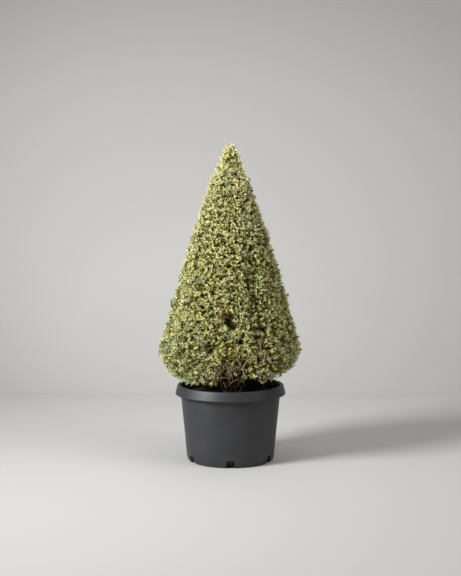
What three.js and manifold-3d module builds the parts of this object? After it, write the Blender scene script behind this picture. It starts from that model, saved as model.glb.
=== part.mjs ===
// A clipped boxwood cone growing in a nursery pot. Millimetres, +Z up, origin on the ground under the pot's
// centre, the side that is meant to be looked at facing -Y.
//
// The pot is a thin moulded shell with a thick rim and drain notches round its foot, filled with compost. A
// trunk stands in the compost and runs up the middle. Skirt boughs fork from its foot and shoulder boughs
// from half way up, and each bough carries one mass of foliage: six sectors make the skirt, four make the
// shoulder, and the spire sits on the trunk's own tip. All the masses share one clipped outline and the same
// bare hollow inside, which opens at the foot of the crown, in front, where the old wood shows.
import * as THREE from "three";
import { mergeVertices } from "three/addons/utils/BufferGeometryUtils.js";
import Module from "manifold-3d";

const wasm = await Module();
wasm.setup();

// ---- Driving dimensions -------------------------------------------------------------------------

const CLEAR = 0.3; // gap between two pieces that touch

// The pot.
const POT_HEIGHT = 250;
const RIM_RADIUS = 182; // at the lower edge of the rim
const RIM_DROP = 31; // how tall the rim is
const RIM_LEAN = 6.5; // how much narrower the rim is at its top
const MOUTH_RADIUS = 164;
const NECK_RADIUS = 163.2; // outside of the wall, just under the rim
const FOOT_RADIUS = 143.2;
const WALL = 2.8;
const BASE_RISE = 5; // the base is raised this much inside its foot ring
const FOOT_RING = 12; // width of the foot ring
const RIM_ROUND = 6; // size of the round on the rim's outer top edge
const FOOT_ROUND = 8; // and of the one on the foot's edge
const POT_SIDES = 32;
const POT_TURN = THREE.MathUtils.degToRad(4); // how far round from +X the pot's flats begin

// The drain notches round the foot.
const NOTCHES = 6;
const NOTCH_WIDTH = 26;
const NOTCH_HEIGHT = 24;
const NOTCH_REACH = 20; // how far a notch runs in from the wall
const NOTCH_ROUND = 5;

// The compost.
const COMPOST_LEVEL = 224;
const COMPOST_LUMPS = 4; // how far lumps rise or dip
const COMPOST_LUMP_SIZE = 46;
const COMPOST_RINGS = 5;
const SEAT_RADIUS = 34; // level ground round the trunk

// The clipped crown.
const CROWN_TOP = 1034;
const CROWN_RADIUS = 231;
const TIP_RADIUS = 10; // the outline is this blunt at its top
const WIDEST_LEVEL = 376;
const HEM_LEVEL = 254; // the crown's lowest edge
const HEM_RADIUS = 136;
const HEM_DROP = 4; // leaves may hang this far below the hem
const HEM_CURL = 12; // below this height over the hem, leaves may reach as far out as they may at it
const FULLNESS = 0.8; // under 1 the cone's sides swell outwards
const SKIRT_TOP = 470; // the skirt masses end here and the shoulder masses begin
const SHOULDER_TOP = 700; // and here the spire begins
const SKIRT_SECTORS = 6;
const SHOULDER_SECTORS = 4;
const SEAM = 1.4; // space between two masses
const CORE_INSET = 26; // the cores lie this far inside the outline
const CORE_SIDES = 30;
const CORE_STEPS = 10;
const CORE_LUMPS = 5; // how far the cores' surface rises or dips
const CORE_LUMP_SIZE = 70;
const CORE_TOP_INSET = 42; // the topmost core ends this far below the crown's top
const CORE_TIP_RADIUS = 4;
const CORE_CROWDING = 1.25; // over 1, the core's sections stand closer together low down
const SLACK = 3; // leaves may pass the clipped outline by this much

// The bare hollow inside the crown, as [radius, height] from its mouth to its top.
const HOLLOW = [[122, 240], [112, 330], [84, 430], [54, 530], [32, 640], [20, 730]];
const HOLLOW_SIDES = 12;

// The bare window low in front, an ellipsoid taken out of the cores: its centre, and its half sizes across,
// inwards and upwards. No twig stands nearer its centre than `rim` times those.
const WINDOW = { x: 14, y: -205, z: 304, across: 42, inwards: 105, upwards: 66, rim: 1.15 };

// Trunk and boughs: radii at the foot and at the tip. The boughs of a tier leave the trunk at `fork`, and
// `step` and twice `step` above it, in turn. A bough's line ends at `reach` from the axis and at `level`, but
// its mass's own stem takes over at the share `join` of the way. Half way along, it sags by `sag` and swings
// sideways by BOUGH_SWING.
const TRUNK = { flare: 23, foot: 12.5, tip: 5.5, flareHeight: 13, sides: 8, steps: 12 };
const SKIRT_BOUGH = { foot: 7, tip: 4.6, fork: 236, step: 5, reach: 122, level: 396, sag: 4, join: 0.66 };
const SHOULDER_BOUGH = { foot: 4.8, tip: 3.6, fork: 462, step: 7, reach: 78, level: 604, sag: 2, join: 0.45 };
const BOUGH_SWING = 0.12; // radians
const STEM_TAPER = 0.8; // a mass's stem ends this much thinner than it starts
const SPIRE_STEM = 60; // how far the spire's stem runs up from the trunk's tip
const BARE_TWIG = { foot: 2.9, tip: 1.7, sides: 5, steps: 9 };
const LIMB_ROOM = 2; // foliage keeps this far from a limb's thickest place

// Twigs and leaves, larger than life because each stands for a tuft of small ones. A twig has three sides,
// and a leaf grows from each. Depths are measured inwards from the clipped outline.
const TWIGS = 163;
const TWIG = { foot: 4.2, tip: 3.6, sunk: 9, tipDepth: 11, lift: 0.35 };
const LEAF = {
  length: 50,
  width: 33,
  thick: 2.8,
  broad: 0.45, // share of the length at which it is widest
  sunk: 1.2, // how deep its foot stands in the twig
  lean: 66,
  uprightLean: 8,
  step: 3.2,
};
const SMALLEST_LEAF = 0.5; // share of full size on the crown's axis. It grows to 1 at FULL_LEAF_RADIUS.
const FULL_LEAF_RADIUS = 100;
const LEAF_TRIES = 8; // each try makes a leaf smaller and flatter by the next two
const TRY_SHRINK = 0.06;
const TRY_LEAN = 3;
const TWIG_TURNS = 6; // turns about its own line that a twig tries
const SPRIG_DEPTH = 27; // the topmost twig ends this far below the crown's top

const COLOURS = {
  pot: { color: 0x3c3e41, roughness: 0.55 },
  compost: { color: 0x2a2119, roughness: 1 },
  bark: { color: 0x85755c, roughness: 0.9 },
  bareWood: { color: 0xa3957c, roughness: 0.9 },
  foliage: { color: 0xa5a463, roughness: 0.65 },
};

// ---- Small helpers ------------------------------------------------------------------------------

const UP = new THREE.Vector3(0, 0, 1);
const EAST = new THREE.Vector3(1, 0, 0);
const GOLDEN_ANGLE = Math.PI * (3 - Math.sqrt(5));
const FRONT = -Math.PI / 2;
const FRAME_STEPS = 100; // how finely a limb's line is followed when its sections are turned

// A seeded source of numbers from 0 to 1.
function seeded(seed) {
  let state = seed;
  return () => {
    state = (state + 0x6d2b79f5) | 0;
    let t = Math.imul(state ^ (state >>> 15), 1 | state);
    t = (t + Math.imul(t ^ (t >>> 7), 61 | t)) ^ t;
    return ((t ^ (t >>> 14)) >>> 0) / 4294967296;
  };
}

const between = (random, low, high) => low + (high - low) * random();

// The same direction as an angle from -PI to PI.
const nearestTurn = (angle) => THREE.MathUtils.euclideanModulo(angle + Math.PI, 2 * Math.PI) - Math.PI;

// Smooth lumps over the whole object, from -1 to 1, with a wavelength of about `size`.
function lumps(p, size) {
  const k = (2 * Math.PI) / size;
  const a = Math.sin(k * p.x + 1.7 * Math.sin(0.6 * k * p.y));
  const b = Math.sin(k * p.y + 1.3 * Math.sin(0.7 * k * p.z));
  const c = Math.sin(k * p.z + 1.5 * Math.sin(0.5 * k * p.x));
  return (a + b + c) / 3;
}

// A point given by its distance from the axis, its azimuth and its height.
function polar(radius, azimuth, z) {
  return new THREE.Vector3(radius * Math.cos(azimuth), radius * Math.sin(azimuth), z);
}

// A closed three.js geometry as a solid that can be cut and joined.
function solid(geometry) {
  const bare = geometry.index ? geometry.toNonIndexed() : geometry.clone();
  for (const name of Object.keys(bare.attributes)) if (name !== "position") bare.deleteAttribute(name);
  const merged = mergeVertices(bare, 1e-3);
  const vertProperties = merged.attributes.position.array;
  return new wasm.Manifold(new wasm.Mesh({ numProp: 3, vertProperties, triVerts: merged.index.array }));
}

// A solid as a geometry again, in flat-shaded triangles.
function geometryOf(made) {
  const mesh = made.getMesh();
  const geometry = new THREE.BufferGeometry();
  geometry.setAttribute("position", new THREE.BufferAttribute(mesh.vertProperties, 3));
  geometry.setIndex(new THREE.BufferAttribute(mesh.triVerts, 1));
  const flat = geometry.toNonIndexed();
  flat.computeVertexNormals();
  return flat;
}

// A profile of [radius, height] pairs turned about Z. It starts and ends on the axis, lower end first. Its
// flats begin at the angle `turn`.
function turned(profile, sides, turn = 0) {
  const points = profile.map(([radius, z]) => new THREE.Vector2(radius, z));
  return new THREE.LatheGeometry(points, sides).rotateX(Math.PI / 2).rotateZ(turn);
}

// Moves each vertex of a geometry to where `place` puts it.
function reshape(geometry, place) {
  const position = geometry.attributes.position;
  const p = new THREE.Vector3();
  for (let i = 0; i < position.count; i++) {
    place(p.fromBufferAttribute(position, i));
    position.setXYZ(i, p.x, p.y, p.z);
  }
  return geometry;
}

// A quarter round from one end of a corner to the other, as [radius, height] pairs.
function rounded(corner, from, to, steps) {
  const ends = [from, corner, to].map(([radius, z]) => new THREE.Vector2(radius, z));
  return new THREE.QuadraticBezierCurve(...ends).getPoints(steps).map((p) => [p.x, p.y]);
}

// A tapering limb with flat ends: a cylinder bent along the part of a curve between two shares of its length.
function limb(curve, footRadius, tipRadius, { from = 0, to = 1, sides = 6, steps = 5, swell } = {}) {
  const length = (to - from) * curve.getLength();
  const frames = curve.computeFrenetFrames(FRAME_STEPS, false);
  const cylinder = new THREE.CylinderGeometry(tipRadius, footRadius, length, sides, steps);
  return reshape(cylinder, (p) => {
    const share = THREE.MathUtils.clamp(p.y / length + 0.5, 0, 1);
    const along = from + (to - from) * share;
    const frame = Math.round(along * FRAME_STEPS);
    const scale = swell ? swell(share) : 1;
    const sideways = frames.normals[frame].clone().multiplyScalar(-p.x * scale);
    const across = frames.binormals[frame].clone().multiplyScalar(p.z * scale);
    p.copy(curve.getPointAt(along)).add(sideways).add(across);
  });
}

// ---- The pot and its compost --------------------------------------------------------------------

// Outside radius of the pot's wall at a height.
const wallRadius = (z) => FOOT_RADIUS + ((NECK_RADIUS - FOOT_RADIUS) * z) / (POT_HEIGHT - RIM_DROP);

// The pot's wall, base and rim as one profile, from the middle of the underside up the outside and down the
// inside.
function potShell() {
  const rimFoot = POT_HEIGHT - RIM_DROP;
  const rimTop = RIM_RADIUS - RIM_LEAN;
  const footInner = FOOT_RADIUS - FOOT_RING;
  const floor = BASE_RISE + WALL;
  const footEnds = [[FOOT_RADIUS - FOOT_ROUND, 0], [wallRadius(FOOT_ROUND), FOOT_ROUND]];
  const edgeEnds = [[rimTop, POT_HEIGHT - RIM_ROUND], [rimTop - RIM_ROUND, POT_HEIGHT]];
  const foot = rounded([FOOT_RADIUS, 0], ...footEnds, 2);
  const edge = rounded([rimTop, POT_HEIGHT], ...edgeEnds, 2);
  return turned(
    [
      [0, BASE_RISE],
      [footInner - BASE_RISE, BASE_RISE],
      [footInner, 0],
      ...foot,
      [NECK_RADIUS, rimFoot],
      [RIM_RADIUS, rimFoot],
      ...edge,
      [MOUTH_RADIUS, POT_HEIGHT],
      [wallRadius(floor) - WALL, floor],
      [0, floor],
    ],
    POT_SIDES,
    POT_TURN,
  );
}

// A round-topped bar that cuts one notch, lying along X from inside the foot to outside the wall.
function notchBar() {
  const half = NOTCH_WIDTH / 2;
  const outline = new THREE.Shape();
  outline.moveTo(-half, -1);
  outline.lineTo(half, -1);
  outline.lineTo(half, NOTCH_HEIGHT - NOTCH_ROUND);
  outline.quadraticCurveTo(half, NOTCH_HEIGHT, half - NOTCH_ROUND, NOTCH_HEIGHT);
  outline.lineTo(NOTCH_ROUND - half, NOTCH_HEIGHT);
  outline.quadraticCurveTo(-half, NOTCH_HEIGHT, -half, NOTCH_HEIGHT - NOTCH_ROUND);
  const options = { depth: 2 * NOTCH_REACH, bevelEnabled: false, curveSegments: 2 };
  const bar = new THREE.ExtrudeGeometry(outline, options).rotateX(Math.PI / 2).rotateZ(Math.PI / 2);
  return bar.translate(FOOT_RADIUS - NOTCH_REACH, 0, 0);
}

function pot() {
  let shell = solid(potShell());
  for (let i = 0; i < NOTCHES; i++) {
    shell = shell.subtract(solid(notchBar().rotateZ(FRONT + (i * 2 * Math.PI) / NOTCHES)));
  }
  return geometryOf(shell);
}

// The compost fills the pot. Its top is lumpy but level round the trunk and against the wall.
function compost() {
  const floor = BASE_RISE + WALL + CLEAR;
  const edge = (z) => wallRadius(z) - WALL - 2 * CLEAR;
  const width = edge(COMPOST_LEVEL) - SEAT_RADIUS;
  const top = Array.from({ length: COMPOST_RINGS }, (_, i) => {
    const share = i / (COMPOST_RINGS - 1);
    return [SEAT_RADIUS + (1 - share) * width, COMPOST_LEVEL];
  });
  const profile = [[0, floor], [edge(floor), floor], ...top, [0, COMPOST_LEVEL]];
  const ground = turned(profile, POT_SIDES, POT_TURN);
  return reshape(ground, (p) => {
    const share = THREE.MathUtils.clamp((Math.hypot(p.x, p.y) - SEAT_RADIUS) / width, 0, 1);
    const height = COMPOST_LUMPS * Math.sin(Math.PI * share);
    if (p.z > COMPOST_LEVEL - CLEAR) p.z += height * lumps(p, COMPOST_LUMP_SIZE);
  });
}

// ---- Trunk and boughs ---------------------------------------------------------------------------

const TRUNK_FOOT = COMPOST_LEVEL + CLEAR;
const TRUNK_TIP = 716;

const trunkCurve = new THREE.CatmullRomCurve3([
  new THREE.Vector3(0, 0, TRUNK_FOOT),
  new THREE.Vector3(0, 0, TRUNK_FOOT + 40),
  new THREE.Vector3(3, 2, 400),
  new THREE.Vector3(-2, 3, 560),
  new THREE.Vector3(0, 0, TRUNK_TIP),
]);

// The trunk swells into a root flare at its foot. `extra` makes it thicker all round, to cut its neighbours
// clear.
function trunkShape(extra = 0) {
  const swell = (share) => {
    const height = share * (TRUNK_TIP - TRUNK_FOOT);
    const radius = THREE.MathUtils.lerp(TRUNK.foot, TRUNK.tip, share) + extra;
    return 1 + ((TRUNK.flare - TRUNK.foot) * Math.exp(-height / TRUNK.flareHeight)) / radius;
  };
  const { sides, steps } = TRUNK;
  return limb(trunkCurve, TRUNK.foot + extra, TRUNK.tip + extra, { sides, steps, swell });
}

// One tier of boughs, evenly turned about the trunk, each with the name of the mass that it carries. A
// bough's line runs from inside the trunk out and up to a point inside its mass.
function boughTier(tier, count, first, bough) {
  return Array.from({ length: count }, (_, i) => {
    const azimuth = FRONT + first + (i * 2 * Math.PI) / count;
    const fork = bough.fork + bough.step * (i % 3);
    const start = trunkCurve.getPointAt((fork - TRUNK_FOOT) / (TRUNK_TIP - TRUNK_FOOT));
    const end = polar(bough.reach, azimuth, bough.level);
    const bend = polar(bough.reach / 2, azimuth + BOUGH_SWING, (fork + bough.level) / 2 - bough.sag);
    const curve = new THREE.CatmullRomCurve3([start, bend, end]);
    const name = `${tier}_bough_${i + 1}`;
    const mass = `${tier}_foliage_${i + 1}`;
    return { ...bough, name, mass, tier, azimuth, curve };
  });
}

const planBoughs = () => [
  ...boughTier("skirt", SKIRT_SECTORS, Math.PI / SKIRT_SECTORS, SKIRT_BOUGH),
  ...boughTier("shoulder", SHOULDER_SECTORS, 0, SHOULDER_BOUGH),
];

// Bare, leafless twigs in the window, each as the points of its line from its foot on the trunk or on the
// compost.
const BARE_TWIGS = {
  bare_twig_left: [[-10, -12, 238], [-14, -60, 252], [-2, -118, 306], [-8, -142, 328], [2, -146, 345]],
  bare_twig_right: [[10, -12, 240], [22, -60, 260], [25, -116, 304], [29, -140, 328], [20, -148, 350]],
  bare_twig_low: [[4, -16, 236], [34, -78, 254], [22, -116, 240], [-24, -112, 246], [-30, -94, 274]],
};

function bareTwigCurve(points) {
  return new THREE.CatmullRomCurve3(points.map((p) => new THREE.Vector3(...p)));
}

// ---- Foliage ------------------------------------------------------------------------------------

// Radius of the clipped outline at a height: a slightly full cone above its widest level, a quarter round
// below it.
function outlineRadius(z) {
  if (z >= WIDEST_LEVEL) {
    const share = Math.max(0, (CROWN_TOP - z) / (CROWN_TOP - WIDEST_LEVEL));
    return TIP_RADIUS + (CROWN_RADIUS - TIP_RADIUS) * share ** FULLNESS;
  }
  const drop = Math.min(1, (WIDEST_LEVEL - z) / (WIDEST_LEVEL - HEM_LEVEL));
  return HEM_RADIUS + (CROWN_RADIUS - HEM_RADIUS) * Math.sqrt(1 - drop * drop);
}

// The outline's direction outwards at a height and azimuth.
function outward(z, azimuth) {
  const slope = (outlineRadius(z + 2) - outlineRadius(z - 2)) / 4;
  return polar(1, azimuth, -slope).normalize();
}

// Places spread evenly over the whole clipped surface, on a spiral of golden turns from the hem to the top,
// each with the outline's own direction there. The last is the very top.
function spread(count) {
  const slices = 400;
  const height = (CROWN_TOP - HEM_LEVEL - 2) / slices;
  const levels = Array.from({ length: slices + 1 }, (_, i) => HEM_LEVEL + 1 + height * i);
  const area = [0];
  for (let i = 1; i <= slices; i++) {
    const drop = levels[i] - levels[i - 1];
    const run = outlineRadius(levels[i]) - outlineRadius(levels[i - 1]);
    area.push(area[i - 1] + outlineRadius((levels[i] + levels[i - 1]) / 2) * Math.hypot(drop, run));
  }
  let slice = 0;
  const places = Array.from({ length: count }, (_, i) => {
    const wanted = ((i + 0.5) / count) * area[slices];
    while (area[slice + 1] < wanted) slice++;
    const share = (wanted - area[slice]) / (area[slice + 1] - area[slice]);
    const z = THREE.MathUtils.lerp(levels[slice], levels[slice + 1], share);
    return { point: polar(outlineRadius(z), i * GOLDEN_ANGLE, z), out: outward(z, i * GOLDEN_ANGLE) };
  });
  const sprigPoint = new THREE.Vector3(0, 0, CROWN_TOP - SPRIG_DEPTH + TWIG.tipDepth);
  return [...places, { point: sprigPoint, out: UP, upright: true }];
}

// The space of each mass: a sector between two azimuths and two levels. The spire has no sides.
function planMasses(boughs) {
  const masses = boughs.map(({ mass, tier, azimuth, curve, join, tip }) => {
    const isSkirt = tier === "skirt";
    const half = Math.PI / (isSkirt ? SKIRT_SECTORS : SHOULDER_SECTORS);
    const [low, high] = isSkirt ? [HEM_LEVEL - HEM_DROP, SKIRT_TOP] : [SKIRT_TOP, SHOULDER_TOP];
    return { name: mass, azimuth, half, low, high, stem: { curve, join, radius: tip } };
  });
  const stemTop = new THREE.Vector3(0, 0, TRUNK_TIP + SPIRE_STEM);
  const upwards = new THREE.LineCurve3(trunkCurve.getPointAt(1), stemTop);
  const stem = { curve: upwards, join: 0, radius: TRUNK.tip };
  masses.push({ name: "spire_foliage", azimuth: 0, half: null, low: SHOULDER_TOP, high: CROWN_TOP, stem });
  return masses;
}

// How far a point lies inside a mass's own space. Below 0 it has left it.
function roomAt(mass, p) {
  const radius = Math.hypot(p.x, p.y);
  let room = Math.min(p.z - mass.low, mass.high - p.z) - SEAM / 2;
  if (mass.half) {
    const turn = Math.abs(nearestTurn(Math.atan2(p.y, p.x) - mass.azimuth));
    room = turn > mass.half ? -1 : Math.min(room, radius * Math.sin(mass.half - turn) - SEAM / 2);
  }
  return Math.min(room, outlineRadius(Math.max(p.z, HEM_LEVEL + HEM_CURL)) + SLACK - radius);
}

// How deep a point lies in the bare window: 1 on its edge, 0 at its centre.
function windowDepth({ x, y, z }) {
  const { across, inwards, upwards } = WINDOW;
  return Math.hypot((x - WINDOW.x) / across, (y - WINDOW.y) / inwards, (z - WINDOW.z) / upwards);
}

// The cores before they are parted: the outline drawn in, with lumps, less the hollow and the window.
function wholeCore() {
  const top = CROWN_TOP - CORE_TOP_INSET;
  const low = HEM_LEVEL + CORE_INSET / 2;
  const profile = Array.from({ length: CORE_STEPS }, (_, i) => {
    const z = THREE.MathUtils.lerp(low, top, (i / (CORE_STEPS - 1)) ** CORE_CROWDING);
    return [Math.max(CORE_TIP_RADIUS, outlineRadius(z) - CORE_INSET), z];
  });
  const blank = turned([[0, low], ...profile, [0, top]], CORE_SIDES);
  reshape(blank, (p) => {
    const radius = Math.hypot(p.x, p.y);
    if (radius <= CORE_TIP_RADIUS) return;
    const grown = (radius + CORE_LUMPS * lumps(p, CORE_LUMP_SIZE) - CORE_LUMPS / 2) / radius;
    p.x *= grown;
    p.y *= grown;
  });
  const first = HOLLOW[0];
  const last = HOLLOW[HOLLOW.length - 1];
  const hollow = turned([[0, first[1]], ...HOLLOW, [0, last[1]]], HOLLOW_SIDES);
  const hole = new THREE.SphereGeometry(1, 12, 8).scale(WINDOW.across, WINDOW.inwards, WINDOW.upwards);
  hole.translate(WINDOW.x, WINDOW.y, WINDOW.z);
  return solid(blank).subtract(solid(hollow)).subtract(solid(hole));
}

// The block of space that a mass may fill, half a seam inside its borders.
function massBlock(mass) {
  const reach = 2.5 * CROWN_RADIUS;
  const outline = new THREE.Shape();
  if (mass.half) {
    const tip = SEAM / 2 / Math.sin(mass.half);
    outline.moveTo(tip, 0);
    outline.lineTo(reach * Math.cos(mass.half), -reach * Math.sin(mass.half) + SEAM / 2);
    outline.lineTo(reach * Math.cos(mass.half), reach * Math.sin(mass.half) - SEAM / 2);
  } else {
    outline.absarc(0, 0, reach, 0, 2 * Math.PI);
  }
  const depth = mass.high - mass.low - SEAM;
  const block = new THREE.ExtrudeGeometry(outline, { depth, bevelEnabled: false, curveSegments: 6 });
  return solid(block.rotateZ(mass.azimuth).translate(0, 0, mass.low + SEAM / 2));
}

// A leaf in its twig's own frame, where the twig runs along Y: eight faces, four above the blade and four
// below, from its root and its tip to its broadest place. It leans away from Y, turned about it. `extra`
// makes it larger all round, to see whether it keeps clear of others.
function leafShape(height, turn, lean, size, extra = 0) {
  const blade = reshape(new THREE.OctahedronGeometry(1), (p) => {
    const share = Math.abs(p.z) > 0.5 ? (p.z + 1) / 2 : LEAF.broad;
    const across = p.x * ((LEAF.width * size) / 2 + extra);
    p.set(across, p.y * (LEAF.thick / 2 + extra), share * (LEAF.length * size + extra) - LEAF.sunk);
  });
  return blade.rotateX(THREE.MathUtils.degToRad(lean - 90)).rotateY(turn).translate(0, height, 0);
}

// The frame of a twig that stands at a point: Y runs along it, and it is turned about Y.
function twigFrame(point, along, turn) {
  const side = new THREE.Vector3().crossVectors(along, Math.abs(along.z) > 0.9 ? EAST : UP).normalize();
  side.applyAxisAngle(along, turn);
  const face = new THREE.Vector3().crossVectors(side, along);
  return new THREE.Matrix4().makeBasis(side, along, face).setPosition(point);
}

// Whether every corner of a geometry lies in a mass's own space and clear of the limbs.
function fits(geometry, mass, limbs) {
  const position = geometry.attributes.position;
  const p = new THREE.Vector3();
  for (let i = 0; i < position.count; i++) {
    p.fromBufferAttribute(position, i);
    if (roomAt(mass, p) < CLEAR) return false;
    if (limbs.some((q) => q.point.distanceTo(p) < q.room)) return false;
  }
  return true;
}

// The leaves of one twig, one from each of its three sides. A leaf that doesn't fit is made smaller and laid
// flatter, and is left off if it still doesn't.
function growLeaves(mass, place, frame, random, limbs, neighbours) {
  const { point, upright } = place;
  const growth = Math.hypot(point.x, point.y) / FULL_LEAF_RADIUS;
  const room = upright ? 1 : Math.min(1, THREE.MathUtils.lerp(SMALLEST_LEAF, 1, growth));
  const blades = [];
  for (let side = 0; side < 3; side++) {
    const height = -LEAF.step * (side + 1);
    for (let attempt = 0; attempt < LEAF_TRIES; attempt++) {
      const lean = (upright ? LEAF.uprightLean : LEAF.lean) + TRY_LEAN * attempt + between(random, -4, 4);
      const size = room * between(random, 0.88, 1.06) * (1 - TRY_SHRINK * attempt);
      const turn = ((2 * side + 1) * Math.PI) / 3 + between(random, -0.08, 0.08);
      const shape = leafShape(height, turn, lean, size).applyMatrix4(frame);
      if (!fits(shape, mass, limbs)) continue;
      const larger = solid(leafShape(height, turn, lean, size, CLEAR).applyMatrix4(frame));
      if ([...neighbours, ...blades].some((other) => touches(other, larger))) continue;
      blades.push(solid(shape));
      break;
    }
  }
  return blades;
}

// One twig, added with its leaves to the mass's shoots. Of a few turns about its own line it takes the one
// that leaves room for the most leaves.
function growTwig(mass, core, place, random, limbs, shoots) {
  const { point, out } = place;
  const along = out.clone().addScaledVector(UP, TWIG.lift).normalize();
  const length = (CORE_INSET - TWIG.tipDepth + CORE_LUMPS + TWIG.sunk) / along.dot(out);
  const top = point.clone().addScaledVector(out, -TWIG.tipDepth);
  let best = null;
  for (let i = 0; i < TWIG_TURNS; i++) {
    const frame = twigFrame(top, along, 2 * Math.PI * random());
    const wood = new THREE.CylinderGeometry(TWIG.tip, TWIG.foot, length, 3).translate(0, -length / 2, 0);
    wood.applyMatrix4(frame);
    if (!fits(wood, mass, limbs)) continue;
    const twig = solid(wood);
    if (shoots.some((other) => touches(other, twig))) continue;
    const blades = growLeaves(mass, place, frame, random, limbs, [core, ...shoots]);
    if (!best || blades.length >= best.length) best = [twig, ...blades];
    if (blades.length === 3) break;
  }
  if (best) shoots.push(...best);
}

// Whether two solids run into each other.
function touches(a, b) {
  const one = a.boundingBox();
  const two = b.boundingBox();
  for (let axis = 0; axis < 3; axis++) {
    if (one.max[axis] < two.min[axis] || two.max[axis] < one.min[axis]) return false;
  }
  return !a.intersect(b).isEmpty();
}

// One mass: its part of the core, its stem, and the twigs and leaves that stand out of it, fused into one
// solid. A hollow that the fusing seals is filled, and a loose scrap is dropped.
function foliage(mass, core, places, limbs) {
  const { curve, join, radius } = mass.stem;
  const gap = CLEAR / curve.getLength();
  const stem = limb(curve, radius, radius * STEM_TAPER, { from: join + gap, steps: 3 });
  const random = seeded(1 + Math.round(100 * (mass.azimuth + 10)) + mass.low);
  const part = core.intersect(massBlock(mass));
  const shoots = [];
  for (const place of places) {
    if (windowDepth(place.point) > WINDOW.rim) growTwig(mass, part, place, random, limbs, shoots);
  }
  const whole = wasm.Manifold.union([part, solid(stem), ...shoots]);
  const pieces = whole.decompose().sort((a, b) => b.volume() - a.volume());
  return geometryOf(pieces[0]);
}

// ---- The whole plant ----------------------------------------------------------------------------

function material({ color, roughness }) {
  return new THREE.MeshStandardMaterial({ color, roughness, metalness: 0, flatShading: true });
}

function named(name, geometry, look) {
  const mesh = new THREE.Mesh(geometry, look);
  mesh.name = name;
  return mesh;
}

// Points along the limbs, each with the distance that foliage keeps from it.
function limbPoints(curves) {
  return curves.flatMap(({ curve, radius }) => {
    return curve.getSpacedPoints(24).map((point) => ({ point, room: radius + LIMB_ROOM }));
  });
}

function buildPlant() {
  const plant = new THREE.Group();
  const looks = Object.fromEntries(Object.entries(COLOURS).map(([name, look]) => [name, material(look)]));
  plant.add(named("pot", pot(), looks.pot));
  plant.add(named("compost", compost(), looks.compost));
  plant.add(named("trunk", geometryOf(solid(trunkShape())), looks.bark));

  const fatTrunk = solid(trunkShape(CLEAR));
  const boughs = planBoughs();
  for (const { name, curve, join, foot, tip } of boughs) {
    const bough = solid(limb(curve, foot, tip, { to: join })).subtract(fatTrunk);
    plant.add(named(name, geometryOf(bough), looks.bark));
  }

  const twigCurves = Object.entries(BARE_TWIGS).map(([name, points]) => [name, bareTwigCurve(points)]);
  for (const [name, curve] of twigCurves) {
    const { foot, tip, sides, steps } = BARE_TWIG;
    const twig = solid(limb(curve, foot, tip, { sides, steps })).subtract(fatTrunk);
    plant.add(named(name, geometryOf(twig), looks.bareWood));
  }

  const limbs = limbPoints([
    ...boughs.map(({ curve, foot }) => ({ curve, radius: foot })),
    ...twigCurves.map(([, curve]) => ({ curve, radius: BARE_TWIG.foot })),
  ]);
  const core = wholeCore();
  const places = spread(TWIGS);
  for (const mass of planMasses(boughs)) {
    const own = places.filter(({ point, out }) => {
      const coreSurface = point.clone().addScaledVector(out, -CORE_INSET);
      return roomAt(mass, coreSurface) > 0;
    });
    plant.add(named(mass.name, foliage(mass, core, own, limbs), looks.foliage));
  }
  return plant;
}

export default buildPlant();
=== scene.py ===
# %% [markdown]
# # A clipped boxwood cone in its nursery pot
#
# The model that comes in as the frame has the plant's solids: a pot, its compost, a trunk, ten boughs, three
# bare twigs and eleven masses of foliage. This lesson dresses them. The pot is turned again, rounder and with
# a hollow rim, the wood gets bark with relief, and each mass of foliage is grown again from its bough
# outwards: branches, finer branches, twigs, and small two-coloured leaves in pairs.
#
# Everything is in metres with Z up, and the side to look at faces -Y.

# %% Load the frame
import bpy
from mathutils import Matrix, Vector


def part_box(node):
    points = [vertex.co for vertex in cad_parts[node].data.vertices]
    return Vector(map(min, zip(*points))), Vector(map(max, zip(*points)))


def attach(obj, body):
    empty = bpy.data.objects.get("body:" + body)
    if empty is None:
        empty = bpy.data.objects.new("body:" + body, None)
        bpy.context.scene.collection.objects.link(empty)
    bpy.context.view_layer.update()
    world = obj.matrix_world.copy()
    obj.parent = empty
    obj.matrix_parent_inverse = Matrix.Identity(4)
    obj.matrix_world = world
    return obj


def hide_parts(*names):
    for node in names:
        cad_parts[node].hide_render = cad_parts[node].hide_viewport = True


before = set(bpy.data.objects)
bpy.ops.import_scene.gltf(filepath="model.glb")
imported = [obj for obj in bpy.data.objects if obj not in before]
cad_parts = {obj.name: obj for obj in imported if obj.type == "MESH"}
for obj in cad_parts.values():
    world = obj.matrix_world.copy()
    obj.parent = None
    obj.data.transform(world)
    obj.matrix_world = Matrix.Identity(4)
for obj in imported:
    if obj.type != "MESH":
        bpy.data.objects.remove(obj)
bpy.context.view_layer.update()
import math

import bmesh
import bpy
import numpy as np
from mathutils import Vector

NODES = sorted(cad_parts)
MASSES = [name for name in NODES if "foliage" in name]
BOUGHS = [name for name in NODES if "bough" in name]
BARE_TWIGS = [name for name in NODES if name.startswith("bare_twig")]
FRONT = -math.pi / 2
print(f"{len(NODES)} nodes, {len(MASSES)} of them masses of foliage")

# %% [markdown]
# ## The stage and the camera
#
# The plant stands in a plain pale studio. The floor runs back and meets the wall at a plain corner. Both
# have nearly the same tone there, so no line shows behind the pot, and one sheet of two faces is enough.
# The camera stands a little lower than the plant is tall, some way off, and looks slightly down, which
# gives the rim its shallow ellipse.

# %% Stage and camera
CAMERA_DISTANCE = 3.38
CAMERA_HEIGHT = 0.792
CAMERA_PITCH = math.radians(3.80)
CAMERA_LENS = 64.4
CAMERA_REACH = 30
STAGE_FRONT = -7.0
STAGE_HALF_WIDTH = 6.0
WALL_DISTANCE = 1.28
WALL_HEIGHT = 5.0


def link(thing):
    """Puts an object into the scene."""
    bpy.context.scene.collection.objects.link(thing)
    return thing


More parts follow.
